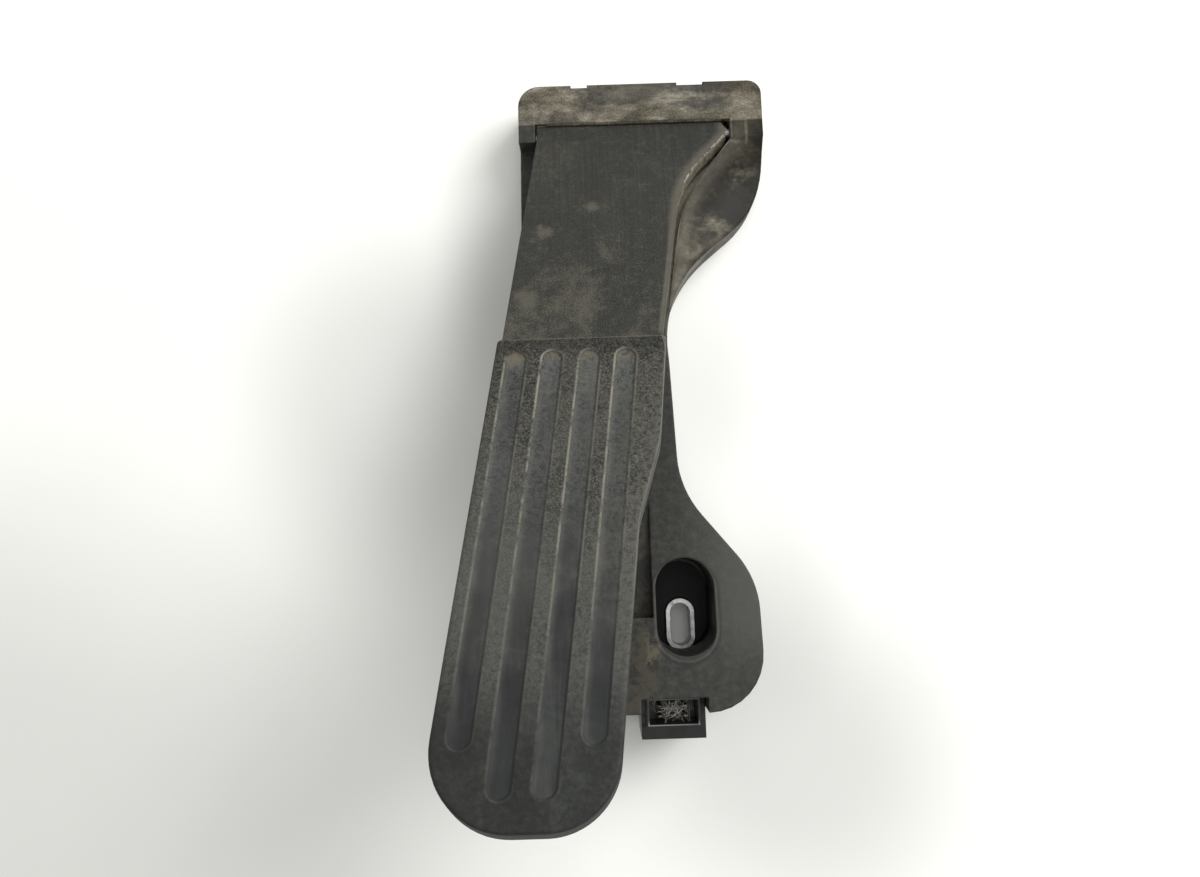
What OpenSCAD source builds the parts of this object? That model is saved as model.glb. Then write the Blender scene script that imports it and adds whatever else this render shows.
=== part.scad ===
// Floor-hinged accelerator pedal module, lying on its mounting face.
// X runs along the hinge, Y from the free end towards the hinge, Z away from the mounting face.

/* [Pedal travel] */
// Height of the hinge axis above the mounting face
hinge_z = 15; // [14:0.5:17]
// Angle of the pedal plate to the mounting face at rest
plate_angle = 24; // [23:0.5:26]
// Angle through which the pedal turns from rest to full throttle
pedal_travel = 15; // [12:0.5:15]
// Turns of the drive lever for one turn of the pedal
lever_ratio = 1.3; // [1.2:0.02:1.36]

/* [Pedal plate] */
// Distance from the hinge axis to the upper face of the arm
plate_rise = 6.4; // [6.2:0.1:7]
// Thickness of the plate's skin
plate_skin = 3; // [2:0.1:3.6]
// Depth of the plate's rim from its upper face
plate_depth = 8; // [7:0.25:8.5]
// Thickness of the rim around the plate
rim_wall = 2.2; // [1.6:0.1:3]
// Thickness of the ribs under the plate
rib_wall = 1.8; // [1.2:0.1:2.6]
// Distance between the cross ribs
rib_pitch = 27; // [22:1:34]
// Width of the hinge barrel
barrel_w = 79; // [74:0.5:79.5]
// Distance along the plate from the hinge to the tread pad
pad_start = 113.7; // [108:0.5:118]
// Distance along the plate from the hinge to the free end
plate_len = 287; // [280:1:292]
// Width of the plate where the tread pad starts
plate_w = 60; // [56:0.5:62]
// Sideways slope of the plate's edges along its length
edge_lean = 0.112; // [0.10:0.004:0.12]

/* [Tread pad] */
// Thickness of the tread pad
pad_skin = 3; // [2.4:0.1:4]
// Height of the tread pad above the arm
pad_step = 1.6; // [1:0.1:2]
// Thickness of the pad's wrapped edge
pad_wrap = 1.6; // [1.2:0.1:2]
// Radius of the pad's upper edge
pad_edge_r = 1; // [0.5:0.1:1.4]
// Depth of the pad's wrapped edge
pad_wrap_depth = 6; // [4:0.25:7]
// Number of grooves
groove_count = 4; // [3:1:4]
// Width of a groove
groove_w = 8.6; // [7:0.1:9.4]
// Depth of a groove
groove_depth = 1.5; // [0.8:0.1:1.8]
// Distance between grooves
groove_pitch = 13.4; // [12:0.1:13.8]

/* [Housing] */
// Left side of the housing
left_x = -50.5; // [-53:0.5:-50]
// Right side of the heel
heel_x = 55; // [50:0.5:58]
// Far edge of the heel
heel_y = 21; // [20:0.5:24]
// Height of the heel flange above the hinge axis
heel_rise = 7; // [6.6:0.1:7.6]
// Free end of the housing
end_y = -242; // [-244:0.5:-240]
// Height of the front face above the mounting face at the hinge
front_z = 12; // [10:0.25:12.5]
// Slope of the front face
front_slope = 8.5; // [8:0.1:8.8]
// Housing wall
wall = 3; // [2.6:0.1:3.4]
// Diameter of the locating bore in the heel
heel_bore_d = 8; // [6:0.5:10]
// Depth of the locating bore
heel_bore_depth = 12; // [8:0.5:14]
// Right side of the waist
waist_x = 9.5; // [9:0.25:11]
// Radius of the dish in the flank
dish_r = 32; // [28:1:40]
// Lowest point of the dish, across
dish_x = 53; // [51:0.5:54]
// Lowest point of the dish, along
dish_y = -28; // [-31:0.5:-26]
// Height of the dish's lowest point
dish_z = 12; // [10:0.5:14]
// Direction of the dish, seen from above
dish_turn = 235; // [232:1:238]
// Angle at which the dish rises towards the waist
dish_rise = 10.5; // [10:0.25:12]
// Right side of the bolt ear
ear_x = 40.6; // [38:0.5:43]
// Width of the mechanism chamber
chamber_w = 26; // [25:0.5:27]

/* [Bolt ear] */
// Centre of the slotted bush, across
bush_x = 11.6; // [10.8:0.1:12]
// Centre of the slotted bush, along
bush_y = -211.5; // [-212.5:0.25:-210.5]
// Width of the slot
slot_w = 8.2; // [6.5:0.1:8.4]
// Length of the slot
slot_len = 17.6; // [14:0.2:18]
// Wall of the bush
bush_wall = 1.8; // [1.2:0.1:2]
// Height of the bush
bush_h = 12; // [8:0.5:14]
// Width of the bolt pocket
pocket_w = 22.9; // [20:0.1:23]
// Length of the bolt pocket
pocket_len = 37.4; // [34:0.2:38]

/* [Hinge] */
// Diameter of the hinge pin
hinge_pin_d = 6; // [5:0.25:6.5]
// Radial clearance of a turning pin
run_gap = 0.05; // [0.02:0.01:0.08]
// Clearance between moving mouldings
move_gap = 0.6; // [0.4:0.05:0.8]

/* [Drive lever] */
// Distance of the lever's shaft from the hinge
lever_y = -192; // [-194:0.5:-191]
// Height of the lever's shaft
lever_z = 28; // [27:0.25:28.5]
// Centre of the lever, across
lever_x = -22; // [-23:0.25:-21]
// Distance along the plate where the lever's nose touches it
nose_s = 112; // [108:1:114]
// Radius of the lever's nose
nose_r = 7; // [6:0.25:7.5]
// Width of the lever's arm
arm_w = 12; // [9:0.5:13]
// Radius of the lever's hub
hub_r = 8.5; // [7.5:0.25:8.6]
// Width of the lever's hub
hub_w = 16; // [14:0.5:16.5]
// Diameter of the lever's shaft
shaft_d = 8; // [6:0.25:8.5]

/* [Springs] */
// Distance of the springs from the hinge
spring_y = -146; // [-148:0.5:-144]
// Mean radius of the outer spring
outer_r = 8.8; // [8:0.1:9.2]
// Wire of the outer spring
outer_wire = 1.8; // [1.4:0.1:2]
// Mean radius of the inner spring
inner_r = 5.2; // [4.8:0.1:5.6]
// Wire of the inner spring
inner_wire = 1.2; // [0.9:0.1:1.4]
// Turns of the outer spring
outer_turns = 4.5; // [4:0.5:5]
// Turns of the inner spring
inner_turns = 6; // [5:0.5:6.5]

/* [Sensor and connector] */
// Left side of the connector shroud
plug_x = -6.8; // [-7.5:0.1:-6]
// Width of the connector shroud
plug_w = 25; // [22:0.25:25.5]
// Free end of the connector shroud
plug_y = -253.5; // [-256:0.5:-252]
// Height of the connector shroud
plug_z = 38; // [35:0.5:40]
// Wall of the connector shroud
plug_wall = 2.4; // [1.8:0.1:3]
// Thickness of the connector's end wall
plug_end = 5.4; // [3:0.2:6]
// Floor of the connector socket
socket_z = 20; // [16:0.5:24]
// Thickness of the sensor board
board_t = 1.6; // [1:0.1:2]
// Width of a terminal
terminal_w = 1.4; // [1:0.1:1.8]
// Thickness of a terminal
terminal_t = 0.8; // [0.6:0.1:1]

/* [Rear cover] */
// Thickness of the rear cover
cover_t = 2.4; // [2:0.1:2.8]
// Depth of the cover's outer face below the mounting face
cover_sink = 0.8; // [0.4:0.1:1.2]
// Diameter of a cover screw
screw_d = 3; // [2.5:0.1:3.5]
// Length of a cover screw
screw_len = 10; // [8:0.5:12]

/* [Hidden] */
$fn = 64;
// Clearances: a seated part, and parts that lie side by side
seat_gap = 0.05;
part_gap = 0.3;
// How far a cut runs past the face that it opens
over = 1;

dusty_black = [0.30, 0.29, 0.27];
plain_black = [0.20, 0.20, 0.20];
gloss_black = [0.12, 0.12, 0.13];
zinc = [0.72, 0.73, 0.74];
spring_steel = [0.62, 0.63, 0.65];

// Plain vector helpers
function lerp(a, b, t) = a + (b - a) * t;
function unit(v) = v / norm(v);
function turned(v, a) = [v[0] * cos(a) - v[1] * sin(a), v[0] * sin(a) + v[1] * cos(a)];

// One rounded corner of an outline: b between a and c, with radius r
function corner_turn(u, v) = acos(max(-1, min(1, u * v)));
function corner_arc(b, u, v, r, steps) =
    let (half = corner_turn(u, v) / 2,
         centre = b + unit(u + v) * r / sin(half),
         first = b + u * r / tan(half) - centre,
         side = u[0] * v[1] - u[1] * v[0] > 0 ? -1 : 1,
         sweep = side * (180 - 2 * half))
    [for (i = [0:steps]) centre + turned(first, sweep * i / steps)];
function rounded(corners, steps = 8) =
    let (n = len(corners))
    [for (i = [0:n - 1])
        let (here = corners[i],
             b = [here[0], here[1]],
             last = corners[(i + n - 1) % n],
             next = corners[(i + 1) % n],
             u = unit([last[0], last[1]] - b),
             v = unit([next[0], next[1]] - b))
        each (here[2] == 0 ? [b] : corner_arc(b, u, v, here[2], steps))];

// The outline moved inwards by d; the outline runs anticlockwise
function side_normal(a, b) = let (d = unit(b - a)) [-d[1], d[0]];
function inset(points, d) =
    let (n = len(points))
    [for (i = [0:n - 1])
        let (before = side_normal(points[(i + n - 1) % n], points[i]),
             after = side_normal(points[i], points[(i + 1) % n]))
        points[i] + (before + after) * d / (1 + before * after)];

// A closed skin over a stack of rings with the same number of points
module loft(rings) {
    n = len(rings[0]);
    m = len(rings);
    polyhedron(
        points = [for (ring = rings) each ring],
        faces = concat(
            [[for (i = [0:n - 1]) i]],
            [[for (i = [n - 1:-1:0]) (m - 1) * n + i]],
            [for (j = [0:m - 2], i = [0:n - 1])
                [j * n + i, (j + 1) * n + i, (j + 1) * n + (i + 1) % n]],
            [for (j = [0:m - 2], i = [0:n - 1])
                [j * n + i, (j + 1) * n + (i + 1) % n, j * n + (i + 1) % n]]),
        convexity = 6);
}

// A block with a rounded upper edge of radius r
function ring_at(points, d, z) = [for (p = inset(points, d)) [p[0], p[1], z]];
module rounded_block(points, low_z, top_z, r) {
    loft(concat(
        [ring_at(points, 0, low_z)],
        [for (a = [0:45:90]) ring_at(points, r * (1 - cos(a)), top_z - r * (1 - sin(a)))]));
}

// An obround prism along Y
module obround(w, len, h) {
    linear_extrude(h) {
        translate([-w / 2, -(len - w) / 2]) square([w, len - w]);
        for (side = [-1, 1]) translate([0, side * (len - w) / 2]) circle(d = w);
    }
}

// A cylinder along X between two planes
module rod_x(x0, x1, y, z, r) {
    translate([x0, y, z]) rotate([0, 90, 0]) cylinder(h = x1 - x0, r = r);
}

// A box between two corners
module block(low, high) {
    translate(low) cube(high - low);
}

// The plate's own frame: x across, y along the plate from the hinge, z out of its face
module on_plate() {
    translate([0, 0, hinge_z]) rotate([-plate_angle, 0, 0]) mirror([0, 1, 0]) children();
}

heel_z = hinge_z + heel_rise;
front_rise = tan(front_slope);
pin_r = hinge_pin_d / 2;
barrel_left = -42.8;
barrel_right = barrel_left + barrel_w;
trough_r = plate_rise + move_gap;
lip_y = 4;

// Outline of the plate, in its own frame
arm_left = barrel_left + 1.2;
flare_s = 5;
pad_left_top = -56.6;
flare_x = barrel_right + 3.6;
flare_knee = 33;
flare_knee_x = 17.2;
bend_1 = 158;
bend_2 = 189;
bend_2_x = -7;
function plate_left(s) = pad_left_top - edge_lean * (s - pad_start);
function pad_right(s) = bend_2_x - edge_lean * (s - bend_2);
pad_right_top = plate_left(pad_start) + plate_w + 3.2;
plate_corners = [
    [arm_left, -1.5, 3],
    [flare_x - 3.4, -1.5, 3],
    [flare_x, flare_s, 3],
    [flare_knee_x, flare_knee, 60],
    [pad_right_top - pad_wrap, pad_start, 20],
    [2 - pad_wrap, bend_1, 40],
    [bend_2_x - pad_wrap, bend_2, 40],
    [pad_right(plate_len - pad_wrap) - pad_wrap, plate_len - pad_wrap, 21],
    [plate_left(plate_len - pad_wrap) + pad_wrap, plate_len - pad_wrap, 23],
    [plate_left(pad_start) + pad_wrap, pad_start, 0]];
pad_corners = [
    [plate_left(pad_start), pad_start, 2],
    [pad_right_top, pad_start, 2],
    [2, bend_1, 40],
    [bend_2_x, bend_2, 40],
    [pad_right(plate_len), plate_len, 22.6],
    [plate_left(plate_len), plate_len, 24.6]];

// The nose of the lever: where it is at rest, and the track that it needs under the plate
function on_rest_plate(s, n) =
    [-s * cos(plate_angle) + n * sin(plate_angle), s * sin(plate_angle) + n * cos(plate_angle)];
track_n = plate_rise - plate_depth;
nose_n = track_n - nose_r - part_gap;
nose_at = [0, hinge_z] + on_rest_plate(nose_s, nose_n);
shaft_at = [lever_y, lever_z];
// The nose's centre in the plate's frame when the pedal has turned by t
function nose_path(t) =
    let (world = shaft_at + turned(nose_at - shaft_at, -lever_ratio * t) - [0, hinge_z],
         back = turned(world, -t))
    [-back[0] * cos(plate_angle) + back[1] * sin(plate_angle),
     back[0] * sin(plate_angle) + back[1] * cos(plate_angle)];
// The saddle under the plate is the circle through the nose's path, wider by the nose and a clearance
function circle_centre(a, b, c) =
    let (d = 2 * (a[0] * (b[1] - c[1]) + b[0] * (c[1] - a[1]) + c[0] * (a[1] - b[1])))
    [(a * a * (b[1] - c[1]) + b * b * (c[1] - a[1]) + c * c * (a[1] - b[1])) / d,
     (a * a * (c[0] - b[0]) + b * b * (a[0] - c[0]) + c * c * (b[0] - a[0])) / d];
saddle_at = circle_centre(nose_path(0), nose_path(pedal_travel / 2), nose_path(pedal_travel));
saddle_slack = 0.3;
saddle_r = norm(nose_path(0) - saddle_at) + nose_r + part_gap + saddle_slack;
saddle_low = -3;
saddle_half = 12;
saddle_side = 1.5;
lever_angle = atan2(nose_at[1] - lever_z, nose_at[0] - lever_y);
lever_len = norm(nose_at - shaft_at);

// Chambers of the housing, open to the rear
chamber_x = [lever_x - chamber_w / 2, lever_x + chamber_w / 2];
tail_len = 12;
chamber_y = [lever_y - norm([tail_len + 1, hub_r + 1]) - move_gap, lever_y + lever_len + nose_r + move_gap];
slot_end_y = -172;
sensor_x = [left_x + wall, chamber_x[0] - wall - 3];
sensor_y = [lever_y - 24, lever_y + 20];
sensor_roof = 36;
plug_y_in = end_y + 5;
bay_y = [plug_y_in, plug_y_in + 10.7];
bay_z = 30;
plug_x2 = plug_x + plug_w;
cover_top = cover_sink + cover_t;
cover_x = [left_x + 2, chamber_x[1] + 8.6];
cover_y = [bay_y[1] + 1.6, chamber_y[1] + 8];
cover_corners = [
    [cover_x[0], cover_y[0], 4],
    [cover_x[1], cover_y[0], 4],
    [cover_x[1], cover_y[1], 4],
    [cover_x[0], cover_y[1], 4]];
screw_inset = 5;
screw_places = [
    [cover_x[0] + screw_inset, cover_y[1] - screw_inset],
    [cover_x[1] - screw_inset, cover_y[1] - screw_inset],
    [chamber_x[0] - screw_inset, spring_y + 12],
    [cover_x[1] - screw_inset, spring_y - 12],
    [chamber_x[0] - 2, cover_y[0] + screw_inset],
    [cover_x[1] - screw_inset, cover_y[0] + screw_inset]];

module screw_pattern() {
    for (place = screw_places) translate(place) children();
}

// Terminals: blades in the socket, joined to the board by strips in the sensor housing
terminal_rows = [plug_y_in - 4.6, plug_y_in - 8.4];
terminal_pitch = 5;
function terminal_x(i) = plug_x + plug_w / 2 + (i % 3 - 1) * terminal_pitch;
function terminal_y(i) = terminal_rows[floor(i / 3)];
function strip_z(i) = i < 3 ? 13 + 2 * i : 7 + 2 * (i - 3);
strip_y = bay_y[0] + 5.5;
board_x = [sensor_x[0] + 0.4, sensor_x[0] + 0.4 + board_t];
board_y = [sensor_y[0] + 1, sensor_y[1] - 2];
terminal_tip = 32;

module terminals(grow) {
    t = terminal_t / 2 + grow;
    w = terminal_w / 2 + grow;
    for (i = [0:5]) {
        x = terminal_x(i);
        y = terminal_y(i);
        z = strip_z(i);
        block([x - w, y - t, z - t], [x + w, y + t, terminal_tip]);
        block([x - w, y - t, z - t], [x + w, strip_y + t, z + t]);
        block([board_x[1], strip_y - t, z - t], [x + w, strip_y + t, z + t]);
        block([board_x[1], strip_y - t, z - t], [board_x[1] + 2 * t, board_y[0] + 3, z + t]);
    }
}

// The dished flank between the plate's flare and the outer edge of the heel
fence_end = -100;
lip_w = 0.8;
flank_corners = [
    [heel_x, lip_y + 2],
    [heel_x - 0.4, -32.3],
    [waist_x, -70],
    [waist_x + 0.4, fence_end - 12]];
waist_turn_r = 55;
heel_turn_r = 40;
flank_outer = let (
        c = flank_corners,
        turn_1 = corner_arc(c[1], unit(c[0] - c[1]), unit(c[2] - c[1]), heel_turn_r, 10),
        turn_2 = corner_arc(c[2], unit(c[1] - c[2]), unit(c[3] - c[2]), waist_turn_r, 10))
    concat([for (i = [0:4]) lerp(c[0], turn_1[0], i / 5)], turn_1, turn_2, [c[3] - [1.2, 0]]);
flare_gap = 1.3;
flank_inner = let (
        pressed = cos(plate_angle - pedal_travel),
        corner = [flare_x + flare_gap + lip_w, -flare_s],
        knee = [flare_knee_x + flare_gap + lip_w, -flare_knee * pressed],
        low = [waist_x - 2.6, fence_end - 12],
        arc = corner_arc(knee, unit(corner - knee), unit(low - knee), 60, 9))
    concat([[corner[0], lip_y], corner], arc, [lerp(arc[9], low, 0.5), low]);
function front_at(y) = front_z - front_rise * y;
sky_z = 70;

// The dish in the flank: a round-nosed bar that rises faster than the front face
module dish() {
    translate([dish_x, dish_y, dish_z + dish_r]) rotate([0, 90 - dish_rise, dish_turn])
        rotate_extrude() polygon(concat(
            [[0, dish_r * 4], [0, -dish_r]],
            [for (a = [-80:10:0]) dish_r * [cos(a), sin(a)]],
            [[dish_r, dish_r * 4]]));
}

// An extrusion along X of an outline in Y and Z
module along_x(x0, x1, points) {
    translate([x0, 0, 0]) rotate([90, 0, 90]) linear_extrude(x1 - x0) polygon(points);
}

// What is cut away above the heel flange and above the lip beside the plate's flare
lip_rise = 0.095;
module above_heel() {
    along_x(left_x - 5, heel_x + 5, [
        [heel_y + 5, heel_z],
        [lip_y, heel_z],
        [fence_end - 5, heel_z + lip_rise * (lip_y - fence_end + 5)],
        [fence_end - 5, sky_z],
        [heel_y + 5, sky_z]]);
}

// What is cut away above the sloping front face, between the hinge lugs and up to the lip
lug_y = -4.5;
barrel_end = barrel_left - move_gap;
front_region = concat(
    [[barrel_end, lip_y], [barrel_end, lug_y], [left_x - 5, lug_y], [left_x - 5, end_y - 10],
     [ear_x + 30, end_y - 10], [ear_x + 30, fence_end], [waist_x + 8, fence_end]],
    [for (i = [len(flank_inner) - 2:-1:0]) flank_inner[i] - [lip_w, 0]]);
module above_front() {
    difference() {
        linear_extrude(sky_z + 5) polygon(front_region);
        along_x(left_x - 10, ear_x + 40, [
            [heel_y + 10, -1],
            [heel_y + 10, front_at(heel_y + 10)],
            [end_y - 20, front_at(end_y - 20)],
            [end_y - 20, -1]]);
    }
}

body_outline = concat(
    rounded([
        [heel_x, lip_y + 2, 0],
        [heel_x, heel_y, 6],
        [left_x, heel_y, 9],
        [left_x, end_y, 8],
        [ear_x, end_y, 22],
        [ear_x - 0.3, -192.7, 35],
        [waist_x + 2.2, -156.7, 40],
        [waist_x + 0.7, fence_end - 4, 0]], 8),
    [for (i = [len(flank_outer) - 2:-1:1]) flank_outer[i]]);
lug_end = flare_x + flare_gap;
flange_skin = 1.2;
pin_inset = 2.2;
pin_reach = 5.8;

// Recess of the hinge barrel and the bore of its pin
module hinge_cuts() {
    block([barrel_end, -trough_r - over, hinge_z - trough_r],
          [lug_end - 0.2, trough_r, heel_z - flange_skin]);
    rod_x(left_x + pin_inset - 0.2, lug_end + pin_reach + 0.2, 0, hinge_z, pin_r + seat_gap);
}

// Locating bore and the two notches in the far edge of the heel
heel_bore_at = [2, 14];
notch_cut = 1.2;
notch_depth = 6;
notches = [[-27.5, -20.5], [18.5, 29.8]];
module heel_cuts() {
    translate([heel_bore_at[0], heel_bore_at[1], -over])
        cylinder(h = heel_bore_depth + over, d = heel_bore_d);
    for (x = notches)
        block([x[0], heel_y - notch_cut, heel_z - notch_depth], [x[1], heel_y + over, heel_z + over]);
}

// Mechanism chamber, the slot that the lever leaves by, the sensor chamber and the shaft's bores
chamber_roof = 37;
slot_floor = 20;
slot_side = 1.5;
bearing_r = shaft_d / 2 + 2;
bearing_len = 5;
module chamber_cuts() {
    slot_x = [lever_x - arm_w / 2 - slot_side, lever_x + arm_w / 2 + slot_side];
    block([chamber_x[0], slot_end_y, -over], [chamber_x[1], chamber_y[1], sky_z]);
    block([chamber_x[0], chamber_y[0], -over], [chamber_x[1], slot_end_y + over, chamber_roof]);
    block([slot_x[0], lever_y - 2, slot_floor], [slot_x[1], slot_end_y + over, sky_z]);
    block([sensor_x[0], sensor_y[0], -over], [sensor_x[1], sensor_y[1], sensor_roof]);
    rod_x(sensor_x[1] - over, chamber_x[0] + over, lever_y, lever_z, bearing_r + seat_gap);
    rod_x(chamber_x[1] - over, chamber_x[1] + bearing_len + 0.5, lever_y, lever_z, bearing_r + seat_gap);
}

// Bay of the sensor housing, the notch of the connector and the passage of the strips
passage_w = 6;
passage_h = 24;
module connector_cuts() {
    block([sensor_x[0], bay_y[0], -over], [plug_x2 + part_gap, bay_y[1], bay_z]);
    block([plug_x - part_gap, end_y - over, -over], [plug_x2 + part_gap, plug_y_in + 0.5, sky_z]);
    block([sensor_x[0], bay_y[1] - over, -over], [sensor_x[0] + passage_w, sensor_y[0] + over, passage_h]);
}

// Seat of the rear cover and the pilot holes of its screws
module cover_cuts() {
    translate([0, 0, -over]) linear_extrude(cover_top + over)
        polygon(inset(rounded(cover_corners), -part_gap));
    screw_pattern() cylinder(h = screw_len + 2, d = screw_d);
}

// Bolt pocket, the seat of the bush and the channel beside the ear
bush_len = slot_len + 2 * bush_wall;
bush_w = slot_w + 2 * bush_wall;
pocket_y = bush_y + (pocket_len - bush_len) / 2 + bush_wall - over;
channel_x = [-12, -1];
channel_y = [-206.5, -158];
channel_floor = 36;
module ear_cuts() {
    translate([bush_x, pocket_y, bush_h - 2]) obround(pocket_w, pocket_len, sky_z);
    translate([bush_x, bush_y, -over]) obround(bush_w + 2 * seat_gap, bush_len + 2 * seat_gap, bush_h + 2);
    block([channel_x[0], channel_y[0], channel_floor], [channel_x[1], channel_y[1], sky_z]);
}

module housing() {
    color(dusty_black) difference() {
        linear_extrude(sky_z - 10) polygon(body_outline);
        above_heel();
        above_front();
        dish();
        hinge_cuts();
        heel_cuts();
        chamber_cuts();
        connector_cuts();
        cover_cuts();
        ear_cuts();
        translate([buffer_x, buffer_y, stem_floor]) cylinder(h = sky_z, r = buffer_stem_r + seat_gap);
    }
}

buffer_x = -28;
buffer_y = -226;
buffer_r = 7;
buffer_stem_r = 3;
stem_floor = bay_z + wall;
pressed_angle = plate_angle - pedal_travel;
buffer_top = hinge_z + (plate_rise - plate_skin) / cos(pressed_angle)
    - (buffer_y + buffer_r) * tan(pressed_angle) - part_gap;

module rear_cover() {
    color(plain_black) difference() {
        translate([0, 0, cover_sink]) linear_extrude(cover_t) polygon(rounded(cover_corners));
        screw_pattern() translate([0, 0, -1]) cylinder(h = 6, d = screw_d + 0.2);
        for (y = [chamber_y[0] + 12:14:chamber_y[1] - 10])
            block([chamber_x[0] + 3, y, -1], [chamber_x[1] - 3, y + 9, cover_sink + 0.8]);
        translate([0, 0, cover_top - seal_t]) seal_ring(1, seal_w + 0.4, 2);
    }
}

seal_t = 1.1;
seal_w = 1.2;
module seal_ring(d, w, h) {
    linear_extrude(h) difference() {
        polygon(inset(rounded(cover_corners), d));
        polygon(inset(rounded(cover_corners), d + w));
    }
}
module cover_seal() {
    color([0.1, 0.1, 0.1]) translate([0, 0, cover_top - seal_t + 0.1]) seal_ring(1.2, seal_w, seal_t - 0.2);
}

module cover_screws() {
    head_h = 1.6;
    color(zinc) screw_pattern() {
        translate([0, 0, cover_sink - head_h + 0.9]) cylinder(h = head_h - 0.9, r = screw_d);
        translate([0, 0, cover_sink]) cylinder(h = screw_len, r = screw_d / 2 - seat_gap);
    }
}

module mounting_bush() {
    color(zinc) translate([bush_x, bush_y, 0]) difference() {
        obround(bush_w, bush_len, bush_h);
        translate([0, 0, -over]) obround(slot_w, slot_len, bush_h + 2 * over);
    }
}

module hinge_pin() {
    color(zinc) rod_x(left_x + pin_inset, lug_end + pin_reach, 0, hinge_z, pin_r);
}

module sensor_housing() {
    color(gloss_black) difference() {
        union() {
            block([sensor_x[0] + part_gap, bay_y[0], 0.6], [plug_x2, bay_y[1] - part_gap, bay_z - part_gap]);
            block([plug_x, plug_y, 6], [plug_x2, plug_y_in, plug_z - 3]);
            block([plug_x + 1.8, plug_y + plug_end, 6], [plug_x2 - 1.8, plug_y_in - 0.2, plug_z]);
        }
        block([plug_x + plug_wall + 0.6, plug_y + plug_end, socket_z],
              [plug_x2 - plug_wall - 0.6, plug_y_in - 1.4, plug_z + 1]);
        terminals(0);
    }
}

module terminal_pins() {
    color([0.75, 0.70, 0.55]) terminals(0);
}

module sensor_board() {
    color([0.10, 0.35, 0.20])
        block([board_x[0], board_y[0], 6], [board_x[1], board_y[1], sensor_roof - 1]);
}

flange_r = bearing_r + 2;
module bearing_bush(x0, x1, flange_x) {
    difference() {
        union() {
            rod_x(x0, x1, lever_y, lever_z, bearing_r);
            rod_x(flange_x, flange_x + 1.2, lever_y, lever_z, flange_r);
        }
        rod_x(min(x0, flange_x) - over, max(x1, flange_x) + 2 * over, lever_y, lever_z, shaft_d / 2 + run_gap);
    }
}

module shaft_bushes() {
    color([0.75, 0.62, 0.35]) {
        bearing_bush(sensor_x[1], chamber_x[0], chamber_x[0]);
        bearing_bush(chamber_x[1], chamber_x[1] + bearing_len, chamber_x[1] - 1.2);
    }
}

disc_r = hub_r - 0.5;
module shaft_ring(x0, x1, r, hole_r) {
    difference() {
        rod_x(x0, x1, lever_y, lever_z, r);
        rod_x(x0 - over, x1 + over, lever_y, lever_z, hole_r);
    }
}

module friction_disc() {
    x0 = lever_x + hub_w / 2 + part_gap;
    color([0.5, 0.45, 0.35]) shaft_ring(x0, x0 + 1.6, disc_r, shaft_d / 2 + 0.2);
}

module wave_washer() {
    x0 = lever_x + hub_w / 2 + part_gap + 1.7;
    color(spring_steel) shaft_ring(x0, x0 + 1.0, disc_r - 0.6, shaft_d / 2 + 0.3);
}

seat_z = cover_top + 1.8;
seat_r = outer_r + 2.2;
upper_seat_z = 30.5;
module lower_spring_seat() {
    color(plain_black) translate([lever_x, spring_y, cover_top]) {
        difference() {
            cylinder(h = seat_z - cover_top + 1.5, r = seat_r);
            translate([0, 0, seat_z - cover_top]) cylinder(h = 5, r = outer_r + outer_wire / 2 + 0.3);
        }
        cylinder(h = seat_z - cover_top + 3, r = inner_r - inner_wire);
    }
}

// A coil between two heights, swept as a tube with eight sides
coil_sides = 6;
coil_steps = 16;
function coil_ring(r, wire, z, a) =
    [for (k = [0:coil_sides - 1])
        let (c = 360 * k / coil_sides, reach = r + wire / 2 * cos(c))
        [reach * cos(a), reach * sin(a), z + wire / 2 * sin(c)]];
module coil(r, wire, low_z, high_z, turns) {
    count = turns * coil_steps;
    translate([lever_x, spring_y, 0]) loft([for (i = [0:count])
        coil_ring(r, wire, lerp(low_z + wire / 2, high_z - wire / 2, i / count), -360 * i / coil_steps)]);
}

module outer_spring() {
    color(spring_steel) coil(outer_r, outer_wire, seat_z + 0.1, upper_seat_z - 0.1, outer_turns);
}

module inner_spring() {
    color(spring_steel) coil(inner_r, inner_wire, seat_z + 0.1, upper_seat_z - 0.1, inner_turns);
}

buffer_w = 8;
module rest_buffer() {
    color([0.1, 0.1, 0.1]) translate([lever_x, lever_y - tail_len + 2, cover_top])
        cylinder(h = tail_low - cover_top - part_gap, r = buffer_w / 2);
}
tail_low = lever_z - hub_r - 1;

module kickdown_buffer() {
    color([0.13, 0.13, 0.13]) translate([buffer_x, buffer_y, 0]) {
        face_z = front_z - front_rise * buffer_y;
        translate([0, 0, face_z + 1.3]) cylinder(h = buffer_top - face_z - 1.3, r = buffer_r);
        translate([0, 0, stem_floor + 0.2]) cylinder(h = buffer_top - stem_floor - 1, r = buffer_stem_r);
    }
}

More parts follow.
